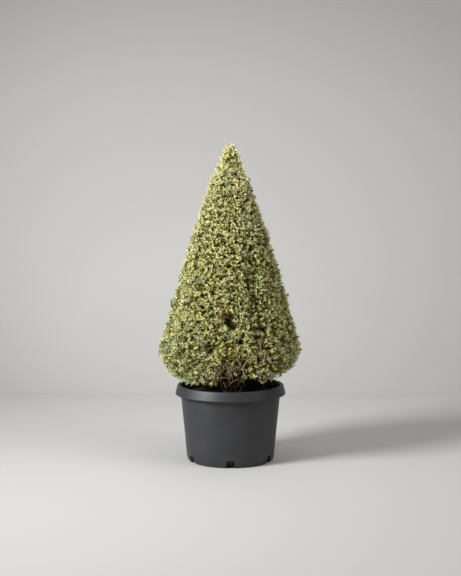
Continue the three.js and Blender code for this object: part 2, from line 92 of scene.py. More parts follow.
def mesh_object(name, vertices, faces, smooth=False):
    """A mesh object at the origin, from plain lists or arrays."""
    mesh = bpy.data.meshes.new(name)
    mesh.from_pydata([tuple(v) for v in vertices], [], [tuple(f) for f in faces])
    mesh.polygons.foreach_set("use_smooth", [smooth] * len(mesh.polygons))
    mesh.update()
    return link(bpy.data.objects.new(name, mesh))


def stage_sheet():
    """The floor and the wall as one strip, bent at a plain corner."""
    profile = [(STAGE_FRONT, 0.0), (WALL_DISTANCE, 0.0), (WALL_DISTANCE, WALL_HEIGHT)]
    vertices = [(x, y, z) for y, z in profile for x in (-STAGE_HALF_WIDTH, STAGE_HALF_WIDTH)]
    faces = [(2 * i, 2 * i + 1, 2 * i + 3, 2 * i + 2) for i in range(len(profile) - 1)]
    return mesh_object("studio_sheet", vertices, faces)


studio = stage_sheet()

camera = link(bpy.data.objects.new("camera", bpy.data.cameras.new("camera")))
camera.data.lens = CAMERA_LENS
camera.data.clip_end = CAMERA_REACH
camera.location = (0, -CAMERA_DISTANCE, CAMERA_HEIGHT)
camera.rotation_euler = (math.pi / 2 - CAMERA_PITCH, 0, 0)
bpy.context.scene.camera = camera
bpy.context.scene.view_settings.view_transform = "Standard"
print("camera", tuple(round(v, 3) for v in camera.location))

# %% [markdown]
# ## Light
#
# A square lamp high on the left and a little in front is the key: it makes the left side of the crown glow
# and lays a soft shadow to the right. A larger lamp, high on the right, keeps the shaded side open. A large
# soft lamp overhead lightens the shadow on the floor, and a warm grey sky does the rest.

# %% Lights
SKY_COLOUR = (1, 0.93, 0.72, 1)
SKY_STRENGTH = 0.26


def area_lamp(name, place, target, size, power, colour=(1, 1, 1), spread=180):
    """A square lamp that looks at a target. A grid in front of it can narrow its spread."""
    lamp = bpy.data.lights.new(name, "AREA")
    lamp.size = size
    lamp.spread = math.radians(spread)
    lamp.energy = power
    lamp.color = colour
    thing = bpy.data.objects.new(name, lamp)
    thing.location = place
    thing.rotation_euler = (Vector(target) - Vector(place)).to_track_quat("-Z", "Y").to_euler()
    return link(thing)


area_lamp("key_lamp", (-3.0, -1.9, 2.3), (0.05, -0.10, 0.88), 1.3, 71, (1, 1, 0.985), spread=86)
area_lamp("fill_lamp", (2.6, -1.8, 3.3), (0, 0, 0.55), 2.2, 62, (1, 0.985, 0.96))
area_lamp("top_lamp", (0.3, 0.1, 3.6), (0.3, 0.1, 0), 2.6, 26)

world = bpy.data.worlds.new("studio_air")
bpy.context.scene.world = world
world.use_nodes = True
sky = world.node_tree.nodes["Background"]
sky.inputs["Color"].default_value = SKY_COLOUR
sky.inputs["Strength"].default_value = SKY_STRENGTH

# %% [markdown]
# ## Materials
#
# Each material is a small node tree around one Principled shader. Patterns read object coordinates, because
# every finished piece sits at the origin, so a noise of a given scale is the same size everywhere. One class
# holds all the helpers: it starts a material, lays colours along a noise or a distance, and turns noises into
# fine relief.

# %% Material helpers


class Finish:
    """A material around one Principled shader, with short ways to add pattern to it."""

    def __init__(self, name, colour, roughness, **constants):
        self.material = bpy.data.materials.new(name)
        self.material.use_nodes = True
        self.tree = self.material.node_tree
        self.shader = self.tree.nodes["Principled BSDF"]
        self.shader.inputs["Base Color"].default_value = (*colour, 1)
        self.shader.inputs["Roughness"].default_value = roughness
        for key, value in constants.items():
            self.shader.inputs[key.replace("_", " ")].default_value = value
        self.place = None

    def node(self, kind, **values):
        """A node, with its settings given by attribute name."""
        made = self.tree.nodes.new(kind)
        for key, value in values.items():
            setattr(made, key, value)
        return made

    def coordinates(self, stretch=(1, 1, 1)):
        """Object coordinates, stretched along the axes."""
        if self.place is None:
            self.place = self.node("ShaderNodeTexCoord")
        mapping = self.node("ShaderNodeMapping")
        mapping.inputs["Scale"].default_value = stretch
        self.tree.links.new(self.place.outputs["Object"], mapping.inputs["Vector"])
        return mapping.outputs["Vector"]

    def noise(self, scale, detail=4.0, rough=0.55, stretch=(1, 1, 1)):
        """A noise from 0 to 1."""
        noise = self.node("ShaderNodeTexNoise")
        noise.inputs["Scale"].default_value = scale
        noise.inputs["Detail"].default_value = detail
        noise.inputs["Roughness"].default_value = rough
        self.tree.links.new(self.coordinates(stretch), noise.inputs["Vector"])
        return noise.outputs["Fac"]

    def ramp(self, value, stops):
        """Colours along a value. Each stop is (position, colour)."""
        ramp = self.node("ShaderNodeValToRGB")
        elements = ramp.color_ramp.elements
        while len(elements) < len(stops):
            elements.new(0.5)
        for element, (position, colour) in zip(elements, stops):
            element.position = position
            element.color = (*colour, 1)
        self.tree.links.new(value, ramp.inputs["Fac"])
        return ramp.outputs["Color"]

    def mix(self, factor, one, two):
        """Two colours mixed by a factor from 0 to 1."""
        mix = self.node("ShaderNodeMix", data_type="RGBA")
        self.tree.links.new(factor, mix.inputs["Factor"])
        self.tree.links.new(one, mix.inputs[6])
        self.tree.links.new(two, mix.inputs[7])
        return mix.outputs[2]

    def range(self, value, low, high):
        """A value from 0 to 1 moved to another range."""
        change = self.node("ShaderNodeMapRange")
        change.inputs["To Min"].default_value = low
        change.inputs["To Max"].default_value = high
        self.tree.links.new(value, change.inputs["Value"])
        return change.outputs["Result"]

    def colour(self, value):
        """Sets what the base colour follows."""
        self.tree.links.new(value, self.shader.inputs["Base Color"])

    def roughness(self, value):
        """Sets what the roughness follows."""
        self.tree.links.new(value, self.shader.inputs["Roughness"])

    def relief(self, heights, depth):
        """Bump from one or more heights, each with a weight."""
        total = None
        for value, weight in heights:
            scaled = self.node("ShaderNodeMath", operation="MULTIPLY")
            scaled.inputs[1].default_value = weight
            self.tree.links.new(value, scaled.inputs[0])
            if total is None:
                total = scaled.outputs[0]
                continue
            added = self.node("ShaderNodeMath", operation="ADD")
            self.tree.links.new(total, added.inputs[0])
            self.tree.links.new(scaled.outputs[0], added.inputs[1])
            total = added.outputs[0]
        bump = self.node("ShaderNodeBump")
        bump.inputs["Distance"].default_value = depth
        self.tree.links.new(total, bump.inputs["Height"])
        self.tree.links.new(bump.outputs["Normal"], self.shader.inputs["Normal"])


# %% [markdown]
# ### Studio paper
#
# The background is matt paper. Its colour carries painted light falloff: palest low down beside the plant,
# and darker slowly away from there, as a background looks when the light on it falls off. A spherical
# gradient gives how near a place is to the pale middle. It is squashed sideways, so that the painted falloff
# darkens more upwards than to the sides.

# %% Studio paper
PAPER_REACH = 1.6
PAPER_SQUASH = 0.6
PALE_X, PALE_Z = -0.30, 0.34
# painted light falloff: the paper's tone from the pale middle outwards
PAINTED_FALLOFF_STOPS = [(0.03, 0.292), (0.31, 0.374), (0.63, 0.438), (0.86, 0.490)]

paper = Finish("studio_paper", (0.485, 0.49, 0.50), 0.95, Specular_IOR_Level=0.1)
across, upwards = PAPER_SQUASH / PAPER_REACH, 1 / PAPER_REACH
spot = paper.coordinates((across, 0, upwards))
spot.node.inputs["Location"].default_value = (-PALE_X * across, 0, -PALE_Z * upwards)
nearness = paper.node("ShaderNodeTexGradient", gradient_type="SPHERICAL")
paper.tree.links.new(spot, nearness.inputs["Vector"])
# the paper's colour follows the painted falloff of the light
paper.colour(paper.ramp(nearness.outputs["Fac"], [(near, (s, s, s * 1.01)) for near, s in PAINTED_FALLOFF_STOPS]))
studio.data.materials.append(paper.material)

# %% [markdown]
# ### Pot plastic
#
# The pot is moulded in charcoal polypropylene. It is satin, not glossy, with fine rings left by the mould's
# turning and a slight marbling in its tone and in how rough it is.

# %% Pot plastic
plastic = Finish("pot_charcoal_plastic", (0.025, 0.0256, 0.031), 0.42)
marbling = plastic.noise(14, 5)
rings = plastic.noise(9, 3, stretch=(0.15, 0.15, 60))
plastic.colour(plastic.ramp(marbling, [(0.35, (0.0182, 0.0193, 0.0236)), (0.7, (0.0238, 0.0249, 0.0298))]))
plastic.roughness(plastic.range(marbling, 0.42, 0.56))
plastic.relief([(rings, 0.7), (plastic.noise(420, 2), 0.3)], 0.00025)

# %% [markdown]
# ### Compost, moss and bark
#
# Compost is nearly black, with brown crumbs of bark and dull green moss. Bark is grey-brown with pale ridges
# stretched along the wood: the noise is squeezed along Z, since most of the wood stands up. Twigs among the
# leaves are browner, and the bare twigs are paler and drier.

# %% Compost, moss and bark
soil = Finish("dark_compost", (0.02, 0.014, 0.008), 0.95, Specular_IOR_Level=0.2)
soil_grain = soil.noise(160, 6, 0.7)
soil.colour(
    soil.ramp(
        soil_grain,
        [(0.32, (0.004, 0.003, 0.002)), (0.5, (0.016, 0.011, 0.006)), (0.72, (0.060, 0.040, 0.022))],
    )
)
soil.relief([(soil_grain, 1.0), (soil.noise(45, 4), 0.8)], 0.004)

crumb = Finish("bark_crumbs", (0.05, 0.03, 0.017), 0.9, Specular_IOR_Level=0.25)
crumb_grain = crumb.noise(300, 3)
crumb.colour(crumb.ramp(crumb_grain, [(0.3, (0.012, 0.008, 0.005)), (0.75, (0.085, 0.052, 0.028))]))
crumb.relief([(crumb_grain, 1.0)], 0.0012)

moss = Finish("compost_moss", (0.06, 0.07, 0.02), 0.9, Specular_IOR_Level=0.2)
moss_grain = moss.noise(500, 3)
moss.colour(moss.ramp(moss_grain, [(0.3, (0.020, 0.022, 0.006)), (0.75, (0.11, 0.11, 0.03))]))
moss.relief([(moss_grain, 1.0)], 0.0015)


def bark_finish(name, dark, light, depth, scale):
    """Bark of two tones in ridges along Z, with relief."""
    bark = Finish(name, light, 0.85, Specular_IOR_Level=0.3)
    ridges = bark.noise(scale, 6, 0.6, stretch=(1, 1, 0.22))
    patches = bark.noise(scale * 0.25, 3)
    tone = bark.ramp(ridges, [(0.34, dark), (0.62, light)])
    weathered = bark.ramp(ridges, [(0.34, dark), (0.62, tuple(1.25 * c for c in light))])
    bark.colour(bark.mix(patches, tone, weathered))
    bark.roughness(bark.range(ridges, 0.95, 0.7))
    bark.relief([(ridges, 1.0), (bark.noise(scale * 6, 3), 0.25)], depth)
    return bark


bark = bark_finish("boxwood_bark", (0.055, 0.038, 0.024), (0.24, 0.18, 0.115), 0.0016, 150)
twig_bark = bark_finish("twig_bark", (0.035, 0.024, 0.010), (0.13, 0.095, 0.035), 0.0006, 300)
bare_bark = bark_finish("bare_twig_bark", (0.23, 0.17, 0.09), (0.60, 0.48, 0.29), 0.0006, 260)

# %% [markdown]
# ### Leaf colours
#
# Each leaf has a green middle and a cream margin. A plant like this is never one colour: the new growth is
# yellower, the old growth in the shade is duller, a few sprays have gone bronze in the cold, and a few have
# turned back to plain green. Each kind of spray has its own two plain colours, so no image is needed. The
# dull olive kind is partly old growth and partly painted shade. The last kind, shade, is painted shade:
# nearly black colours for the old leaves deep inside, so that the gaps between sprays look dark.

# %% Leaf colours
LEAF_ROUGHNESS = 0.42
LEAF_SHEEN = 0.17
LEAF_KINDS = {
    # kind: (margin, middle)
    "cream": ((0.87, 0.87, 0.62), (0.34, 0.335, 0.052)),
    "straw": ((0.89, 0.86, 0.57), (0.42, 0.39, 0.06)),
    "gold": ((0.91, 0.87, 0.52), (0.58, 0.52, 0.10)),
    "lime": ((0.80, 0.80, 0.40), (0.27, 0.285, 0.030)),
    "sage": ((0.62, 0.69, 0.45), (0.15, 0.20, 0.065)),
    # olive: partly old growth, partly painted shade in the crown's low, far and sunken parts
    "olive": ((0.265, 0.255, 0.032), (0.085, 0.083, 0.008)),
    "bronze": ((0.72, 0.50, 0.20), (0.26, 0.155, 0.035)),
    "green": ((0.12, 0.165, 0.04), (0.05, 0.08, 0.018)),
    # shade: painted shade, nearly black leaves that darken the gaps inside the crown
    "shade": ((0.075, 0.062, 0.004), (0.030, 0.025, 0.001)),
}


def leaf_finish(name, colour):
    """A leaf's plain colour, waxy enough to catch a soft highlight."""
    return Finish(name, colour, LEAF_ROUGHNESS, Specular_IOR_Level=LEAF_SHEEN).material


LEAF_FINISHES = {
    kind: (leaf_finish(f"leaf_{kind}_margin", margin), leaf_finish(f"leaf_{kind}_middle", middle))
    for kind, (margin, middle) in LEAF_KINDS.items()
}
print(f"{len(bpy.data.materials)} materials")

# %% [markdown]
# ## Geometry Nodes helpers
#
# A node tree is written here the way a recipe is: inputs with names, then nodes joined by links. Each tree
# ends in Realize Instances and Set Material. It is run on a mesh that holds its starting points, and the
# result is baked to a plain mesh, so nothing live is left on a piece.

# %% Geometry Nodes helpers


class Recipe:
    """A Geometry Nodes tree in the making, with named inputs."""

    def __init__(self, name):
        self.tree = bpy.data.node_groups.new(name, "GeometryNodeTree")
        self.tree.interface.new_socket("Geometry", in_out="INPUT", socket_type="NodeSocketGeometry")
        self.tree.interface.new_socket("Geometry", in_out="OUTPUT", socket_type="NodeSocketGeometry")
        self.entry = self.tree.nodes.new("NodeGroupInput")
        self.exit = self.tree.nodes.new("NodeGroupOutput")
        self.sockets = {}

    def input(self, name, kind):
        """A named input of a kind such as Float, Int, Object or Material."""
        socket = self.tree.interface.new_socket(name, in_out="INPUT", socket_type=f"NodeSocket{kind}")
        self.sockets[name] = socket.identifier
        return self.entry.outputs[name]

    def node(self, kind, inputs=(), **values):
        """A node with settings and inputs. An input's value is a socket to link or a plain value to set."""
        made = self.tree.nodes.new(kind)
        for key, value in values.items():
            setattr(made, key, value)
        for key, value in dict(inputs).items():
            if isinstance(value, bpy.types.NodeSocket):
                self.tree.links.new(value, made.inputs[key])
            else:
                made.inputs[key].default_value = value
        return made

    def start(self):
        """The geometry that comes in."""
        return self.entry.outputs["Geometry"]

    def attribute(self, name, kind="FLOAT"):
        """What a named attribute holds."""
        reader = self.node("GeometryNodeInputNamedAttribute", {"Name": name}, data_type=kind)
        return reader.outputs["Attribute"]

    def reckon(self, operation, *values):
        """A sum worked out from numbers, such as MULTIPLY or DIVIDE."""
        return self.node("ShaderNodeMath", dict(enumerate(values)), operation=operation).outputs[0]

    def dress(self, geometry, material, **choice):
        """Sets a material on the geometry, or on a selection of it."""
        values = {"Geometry": geometry, "Material": material, **choice}
        return self.node("GeometryNodeSetMaterial", values).outputs[0]

    def realize(self, geometry):
        """Copies turned into plain geometry."""
        return self.node("GeometryNodeRealizeInstances", {0: geometry}).outputs[0]

    def finish(self, geometry):
        """Sends the geometry out."""
        self.tree.links.new(geometry, self.exit.inputs["Geometry"])

    def bake(self, thing, values):
        """Runs the tree on an object's mesh and leaves the plain result in it."""
        modifier = thing.modifiers.new("recipe", "NODES")
        modifier.node_group = self.tree
        for name, value in values.items():
            modifier[self.sockets[name]] = value
        thing.update_tag()
        ready = thing.evaluated_get(bpy.context.evaluated_depsgraph_get())
        mesh = bpy.data.meshes.new_from_object(ready)
        thing.modifiers.remove(modifier)
        thing.data = mesh
        mesh.name = thing.name
        return thing


def helper_object(name, mesh):
    """An object that a recipe reads and that never shows. It is removed when its recipe has run."""
    return link(bpy.data.objects.new(name, mesh))


def drop(*things):
    """Removes helper objects."""
    for thing in things:
        bpy.data.objects.remove(thing)


def put_attribute(mesh, name, kind, values):
    """A float, int, bool or vector attribute on a mesh's points."""
    layer = mesh.attributes.new(name, kind, "POINT")
    field = "vector" if kind == "FLOAT_VECTOR" else "value"
    layer.data.foreach_set(field, np.asarray(values).ravel())


def shade_smooth(mesh):
    """Smooth shading on every face."""
    mesh.polygons.foreach_set("use_smooth", [True] * len(mesh.polygons))


def hand_in(piece, nodes):
    """Hides the nodes of the frame that a piece stands for, and ties the piece to the plant's root."""
    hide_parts(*nodes)
    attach(piece, "root")


# %% [markdown]
# ## The pot
#
# The pot's shape follows one rule: a profile turned about the axis. The profile goes up the outside, over
# the turned-down rim and down the inside. The main sizes are those of the CAD pot, and its height comes from
# the frame. A recipe then repeats one notch cutter round the foot and takes the cutters out of the wall.

# %% Pot sizes
POT_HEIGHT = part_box("pot")[1].z
RIM_RADIUS = 0.182
RIM_DROP = 0.031
RIM_LEAN = 0.0065
RIM_LIP = 0.0012  # radius of the round on the rim's lower edge
RIM_SHOULDER = 0.0038  # and on its outer top edge
MOUTH_RADIUS = 0.164
MOUTH_ROUND = 0.003
NECK_RADIUS = 0.1632
FOOT_RADIUS = 0.1432
FOOT_ROUND = 0.009
POT_WALL = 0.0028
BASE_RISE = 0.005
FOOT_RING = 0.012
POT_SIDES = 180
NOTCHES = 6
NOTCH_WIDTH = 0.026
NOTCH_HEIGHT = 0.024
NOTCH_REACH = 0.020
NOTCH_ROUND = 0.005
SHARPEST_SMOOTH = 32  # degrees


def wall_radius(z):
    """Outside radius of the pot's wall at a height."""
    return FOOT_RADIUS + (NECK_RADIUS - FOOT_RADIUS) * z / (POT_HEIGHT - RIM_DROP)


def arc(centre, radius, start, end, steps):
    """Points on a circle's arc in the profile plane, with angles in degrees."""
    angles = np.radians(np.linspace(start, end, steps))
    return [(centre[0] + radius * math.cos(a), centre[1] + radius * math.sin(a)) for a in angles]


def pot_profile():
    """The pot's outline as (radius, height), from the middle of its underside to the middle of its floor."""
    rim_foot = POT_HEIGHT - RIM_DROP
    under_rim = POT_HEIGHT - 2 * POT_WALL
    rim_top = RIM_RADIUS - RIM_LEAN
    foot_in = FOOT_RADIUS - FOOT_RING
    floor = BASE_RISE + POT_WALL
    band_top = np.array([rim_top + 0.0006, POT_HEIGHT - RIM_SHOULDER - 0.0015])
    band_foot = np.array([RIM_RADIUS - 0.0002, rim_foot + RIM_LIP + 0.0010])
    return [
        (0, BASE_RISE),
        (foot_in - BASE_RISE, BASE_RISE),
        (foot_in, 0),
        *arc((FOOT_RADIUS - FOOT_ROUND, FOOT_ROUND), FOOT_ROUND, -90, -5, 8),
        (wall_radius(0.014), 0.014),
        (wall_radius(0.03), 0.03),
        (wall_radius(0.1), 0.1),
        (NECK_RADIUS - 0.0006, rim_foot - 0.016),
        (NECK_RADIUS, rim_foot),
        (wall_radius(under_rim - 0.002), under_rim - 0.002),
        (wall_radius(under_rim) + 0.002, under_rim),
        (rim_top - POT_WALL, under_rim),
        (RIM_RADIUS - POT_WALL - RIM_LIP, rim_foot + RIM_LIP),
        *arc((RIM_RADIUS - POT_WALL / 2 - 0.0002, rim_foot + RIM_LIP), RIM_LIP, 180, 350, 7),
        *[tuple(band_foot + (band_top - band_foot) * share) for share in (0, 0.06, 0.94, 1)],
        *arc((rim_top - RIM_SHOULDER, POT_HEIGHT - RIM_SHOULDER), RIM_SHOULDER, 12, 90, 9),
        *arc((MOUTH_RADIUS + MOUTH_ROUND, POT_HEIGHT - MOUTH_ROUND), MOUTH_ROUND, 90, 175, 6),
        (wall_radius(POT_HEIGHT - 0.03) - POT_WALL, POT_HEIGHT - 0.03),
        (wall_radius(floor + 0.004) - POT_WALL, floor + 0.004),
        (wall_radius(floor) - POT_WALL - 0.004, floor),
        (0, floor),
    ]


# %% [markdown]
# The notch cutter is a short bar with rounded top corners, drawn once. It points outwards along X, and the
# recipe copies it to as many places round the foot as the pot has notches.

# %% Pot


def turned(name, profile, sides):
    """A profile of (radius, height) turned about Z. Its first and last points are on the axis."""
    inner = profile[1:-1]
    angles = np.arange(sides) * 2 * math.pi / sides
    vertices = [(r * math.cos(a), r * math.sin(a), z) for r, z in inner for a in angles]
    low = len(vertices)
    vertices += [(0, 0, profile[0][1]), (0, 0, profile[-1][1])]
    faces = []
    for ring in range(len(inner) - 1):
        for i in range(sides):
            j = (i + 1) % sides
            a, b = ring * sides + i, ring * sides + j
            faces.append((a, b, b + sides, a + sides))
    last = (len(inner) - 1) * sides
    for i in range(sides):
        j = (i + 1) % sides
        faces.append((j, i, low))
        faces.append((last + i, last + j, low + 1))
    return mesh_object(name, vertices, faces, smooth=True)


def notch_cutter():
    """The bar that cuts one notch, along X from inside the foot to outside the wall."""
    half = NOTCH_WIDTH / 2
    top = NOTCH_HEIGHT - NOTCH_ROUND
    left = [(NOTCH_ROUND - half + x, top + z) for x, z in arc((0, 0), NOTCH_ROUND, 180, 90, 6)]
    right = [(half - NOTCH_ROUND + x, top + z) for x, z in arc((0, 0), NOTCH_ROUND, 90, 0, 6)]
    outline = [(-half, -0.003), *left, *right, (half, -0.003)]
    count = len(outline)
    inside, outside = FOOT_RADIUS - NOTCH_REACH, FOOT_RADIUS + NOTCH_REACH
    vertices = [(x, y, z) for x in (inside, outside) for y, z in outline]
    faces = [(i, (i + 1) % count, count + (i + 1) % count, count + i) for i in range(count)]
    faces += [tuple(reversed(range(count))), tuple(range(count, 2 * count))]
    mesh = bpy.data.meshes.new("notch_cutter")
    mesh.from_pydata(vertices, [], faces)
    shape = bmesh.new()
    shape.from_mesh(mesh)
    bmesh.ops.recalc_face_normals(shape, faces=shape.faces)
    shape.to_mesh(mesh)
    shape.free()
    return helper_object("notch_cutter", mesh)


def notch_recipe():
    """Cuts copies of a cutter, evenly turned about Z, out of a mesh."""
    recipe = Recipe("notches_round_a_foot")
    cutter = recipe.input("Cutter", "Object")
    count = recipe.input("Count", "Int")
    first = recipe.input("First Angle", "Float")
    finish = recipe.input("Material", "Material")
    spots = recipe.node("GeometryNodeMeshLine", {"Count": count, "Offset": (0, 0, 0)})
    index = recipe.node("GeometryNodeInputIndex").outputs[0]
    share = recipe.reckon("DIVIDE", index, count)
    angle = recipe.reckon("MULTIPLY_ADD", share, 2 * math.pi, first)
    turn = recipe.node("ShaderNodeCombineXYZ", {"Z": angle}).outputs[0]
    info = recipe.node("GeometryNodeObjectInfo", {"Object": cutter})
    copies = recipe.node(
        "GeometryNodeInstanceOnPoints",
        {"Points": spots.outputs[0], "Instance": info.outputs["Geometry"], "Rotation": turn},
    )
    cut = recipe.node(
        "GeometryNodeMeshBoolean",
        {"Mesh 1": recipe.start(), "Mesh 2": recipe.realize(copies.outputs[0])},
        operation="DIFFERENCE",
        solver="EXACT",
    )
    recipe.finish(recipe.dress(recipe.realize(cut.outputs["Mesh"]), finish))
    return recipe


def shade_by_angle(thing, degrees):
    """Smooth shading, with edges sharper than an angle kept sharp."""
    shade_smooth(thing.data)
    thing.data.set_sharp_from_angle(angle=math.radians(degrees))


pot = turned("nursery_pot", pot_profile(), POT_SIDES)
cutter = notch_cutter()
settings = {"Cutter": cutter, "Count": NOTCHES, "First Angle": FRONT, "Material": plastic.material}
notch_recipe().bake(pot, settings)
drop(cutter)
shade_by_angle(pot, SHARPEST_SMOOTH)
hand_in(pot, ["pot"])
print("pot", len(pot.data.polygons), "faces")

# %% [markdown]
# ## The compost
#
# The compost is one closed body: a lumpy top, and a side that stands a little off the wall and shows in the
# drain notches. Over its top lie crumbs of bark and small cushions of moss, scattered by a recipe.

# %% Compost body
COMPOST_LEVEL = 0.224
COMPOST_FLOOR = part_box("compost")[0].z
COMPOST_SIDES = 96
COMPOST_RINGS = 26
WALL_GAP = 0.0012


def noise_field(points, size, seed=0.0):
    """Smooth lumps from -1 to 1 with a wavelength of about `size`."""
    k = 2 * math.pi / size
    x, y, z = points[..., 0] + seed, points[..., 1] - 2 * seed, points[..., 2] + 3 * seed
    a = np.sin(k * x + 1.7 * np.sin(0.6 * k * y))
    b = np.sin(k * y + 1.3 * np.sin(0.7 * k * z))
    c = np.sin(k * z + 1.5 * np.sin(0.5 * k * x))
    return (a + b + c) / 3


def compost_body():
    """The compost's closed mesh, with its top's lumps already in it."""
    edge = wall_radius(COMPOST_LEVEL) - POT_WALL - WALL_GAP
    foot = wall_radius(COMPOST_FLOOR) - POT_WALL - WALL_GAP
    rise = COMPOST_LEVEL - COMPOST_FLOOR
    side = [(foot + (edge - foot) * t, COMPOST_FLOOR + rise * t) for t in np.linspace(0, 1, 14)]
    top = [(edge * (1 - t), COMPOST_LEVEL) for t in np.linspace(0, 1, COMPOST_RINGS)[1:-1]]
    profile = [(0, COMPOST_FLOOR), *side, *top, (0, COMPOST_LEVEL)]
    body = turned("compost_body", profile, COMPOST_SIDES)
    places = np.empty((len(body.data.vertices), 3))
    body.data.vertices.foreach_get("co", places.ravel())
    radius = np.hypot(places[:, 0], places[:, 1])
    up = places[:, 2] > COMPOST_LEVEL - 0.0005
    fine = 0.0022 * noise_field(places, 0.021) + 0.0012 * noise_field(places, 0.009, 0.3)
    coarse = 0.0035 * noise_field(places, 0.06, 0.7)
    dip = -0.004 * np.clip((radius - 0.125) / 0.03, 0, 1)
    places[:, 2] += np.where(up, fine + coarse + dip, 0)
    body.data.vertices.foreach_set("co", places.ravel())
    body.data.update()
    return body


compost = compost_body()
compost.data.materials.append(soil.material)
hand_in(compost, ["compost"])
print("compost", len(compost.data.polygons), "faces")

# %% [markdown]
# The scatter recipe takes a surface, a grain object, a density, a range of sizes and a seed. It spreads
# points over the parts that face up, and turns and sizes the grains at random from the seed.

# %% Crumbs and moss
FACES_UP = 0.4  # a face whose normal's height is over this faces up


def scatter_recipe():
    """Grains at random places on the parts of a mesh that face up."""
    recipe = Recipe("grains_on_a_surface")
    grain = recipe.input("Grain", "Object")
    density = recipe.input("Density", "Float")
    low = recipe.input("Smallest", "Float")
    high = recipe.input("Largest", "Float")
    seed = recipe.input("Seed", "Int")
    finish = recipe.input("Material", "Material")
    normal = recipe.node("GeometryNodeInputNormal").outputs[0]
    height = recipe.node("ShaderNodeSeparateXYZ", {0: normal}).outputs["Z"]
    faces_up = recipe.node("FunctionNodeCompare", {"A": height, "B": FACES_UP}, operation="GREATER_THAN")
    points = recipe.node(
        "GeometryNodeDistributePointsOnFaces",
        {"Mesh": recipe.start(), "Selection": faces_up.outputs[0], "Density": density, "Seed": seed},
    )
    turn = recipe.node(
        "FunctionNodeRandomValue", {"Max": (2 * math.pi,) * 3, "Seed": seed}, data_type="FLOAT_VECTOR"
    )
    size = recipe.node("FunctionNodeRandomValue", {"Min": low, "Max": high, "Seed": seed}, data_type="FLOAT")
    info = recipe.node("GeometryNodeObjectInfo", {"Object": grain})
    copies = recipe.node(
        "GeometryNodeInstanceOnPoints",
        {
            "Points": points.outputs["Points"],
            "Instance": info.outputs["Geometry"],
            "Rotation": turn.outputs["Value"],
            "Scale": size.outputs[1],
        },
    )
    recipe.finish(recipe.dress(recipe.realize(copies.outputs[0]), finish))
    return recipe


def grain_shape(name, stretch, seed):
    """A small uneven lump of 20 faces, one unit across."""
    shape = bmesh.new()
    bmesh.ops.create_icosphere(shape, subdivisions=1, radius=0.5)
    rng = np.random.default_rng(seed)
    for vertex in shape.verts:
        vertex.co = vertex.co * Vector(stretch) * rng.uniform(0.75, 1.15)
    mesh = bpy.data.meshes.new(name)
    shape.to_mesh(mesh)
    shape.free()
    return helper_object(name, mesh)


def scatter(name, grain, density, smallest, largest, seed, finish):
    """Grains over the compost's top, as one piece."""
    piece = link(bpy.data.objects.new(name, compost.data.copy()))
    settings = {"Grain": grain, "Density": density, "Smallest": smallest, "Largest": largest}
    grains.bake(piece, {**settings, "Seed": seed, "Material": finish})
    hand_in(piece, ["compost"])
    print(name, len(piece.data.polygons), "faces")


grains = scatter_recipe()
chip = grain_shape("chip", (1.0, 0.6, 0.35), 3)
cushion = grain_shape("cushion", (1.0, 0.9, 0.5), 4)
scatter("compost_crumbs", chip, 42000, 0.003, 0.009, 11, crumb.material)
scatter("compost_moss", cushion, 3500, 0.004, 0.010, 12, moss.material)
drop(chip, cushion)

# %% [markdown]
# ## The crown's rule
#
# The whole crown follows the rule that made the CAD masses. An outline gives the clipped radius at each
# height. A spiral of golden turns spreads places evenly over it. Here the same spiral is used three times,
# with more and more places, nearer and nearer the surface: branches, then side branches, then twigs. Each one
# starts from the nearest one before it, and stays in its own mass.

# %% Outline and places
CROWN_TOP = 1.034
CROWN_RADIUS = 0.231
TIP_RADIUS = 0.010
WIDEST_LEVEL = 0.376
HEM_LEVEL = 0.254
HEM_RADIUS = 0.136
HEM_RISE = 0.030
HEM_RISE_AT = math.radians(-75)
HEM_RISE_WIDTH = math.radians(19)
FULLNESS = 0.8
SKIRT_TOP = 0.470
SHOULDER_TOP = 0.700
SKIRT_SECTORS = 6
SHOULDER_SECTORS = 4
GOLDEN_ANGLE = math.pi * (3 - math.sqrt(5))
WINDOW_CENTRE = np.array([0.006, -0.205, 0.304])
WINDOW_HALF = np.array([0.052, 0.075, 0.064])


def outline_radius(z):
    """Radius of the clipped outline at a height."""
    z = np.asarray(z, dtype=float)
    share = np.clip((CROWN_TOP - z) / (CROWN_TOP - WIDEST_LEVEL), 0, 1)
    above = TIP_RADIUS + (CROWN_RADIUS - TIP_RADIUS) * share**FULLNESS
    drop_share = np.clip((WIDEST_LEVEL - z) / (WIDEST_LEVEL - HEM_LEVEL), 0, 1)
    below = HEM_RADIUS + (CROWN_RADIUS - HEM_RADIUS) * np.sqrt(1 - drop_share**2)
    return np.where(z >= WIDEST_LEVEL, above, below)


def polar(radius, azimuth, z):
    """Points from radius, azimuth and height."""
    return np.stack(np.broadcast_arrays(radius * np.cos(azimuth), radius * np.sin(azimuth), z), axis=-1)


def unit(vectors):
    """Vectors brought to length 1."""
    return vectors / np.linalg.norm(vectors, axis=-1, keepdims=True)


def outward(z, azimuth):
    """The outline's direction outwards."""
    slope = (outline_radius(z + 0.002) - outline_radius(z - 0.002)) / 0.004
    return unit(polar(np.ones_like(z), azimuth, -slope))


def spread(count, low=HEM_LEVEL + 0.001, high=CROWN_TOP - 0.001):
    """Heights and azimuths spread evenly over the outline, on a spiral of golden turns."""
    levels = np.linspace(low, high, 401)
    radii = outline_radius(levels)
    strips = (radii[1:] + radii[:-1]) / 2 * np.hypot(np.diff(levels), np.diff(radii))
    area = np.concatenate([[0], np.cumsum(strips)])
    z = np.interp((np.arange(count) + 0.5) / count * area[-1], area, levels)
    return z, np.arange(count) * GOLDEN_ANGLE


def wrapped(angle):
    """An angle brought to between -pi and pi."""
    return (angle + math.pi) % (2 * math.pi) - math.pi


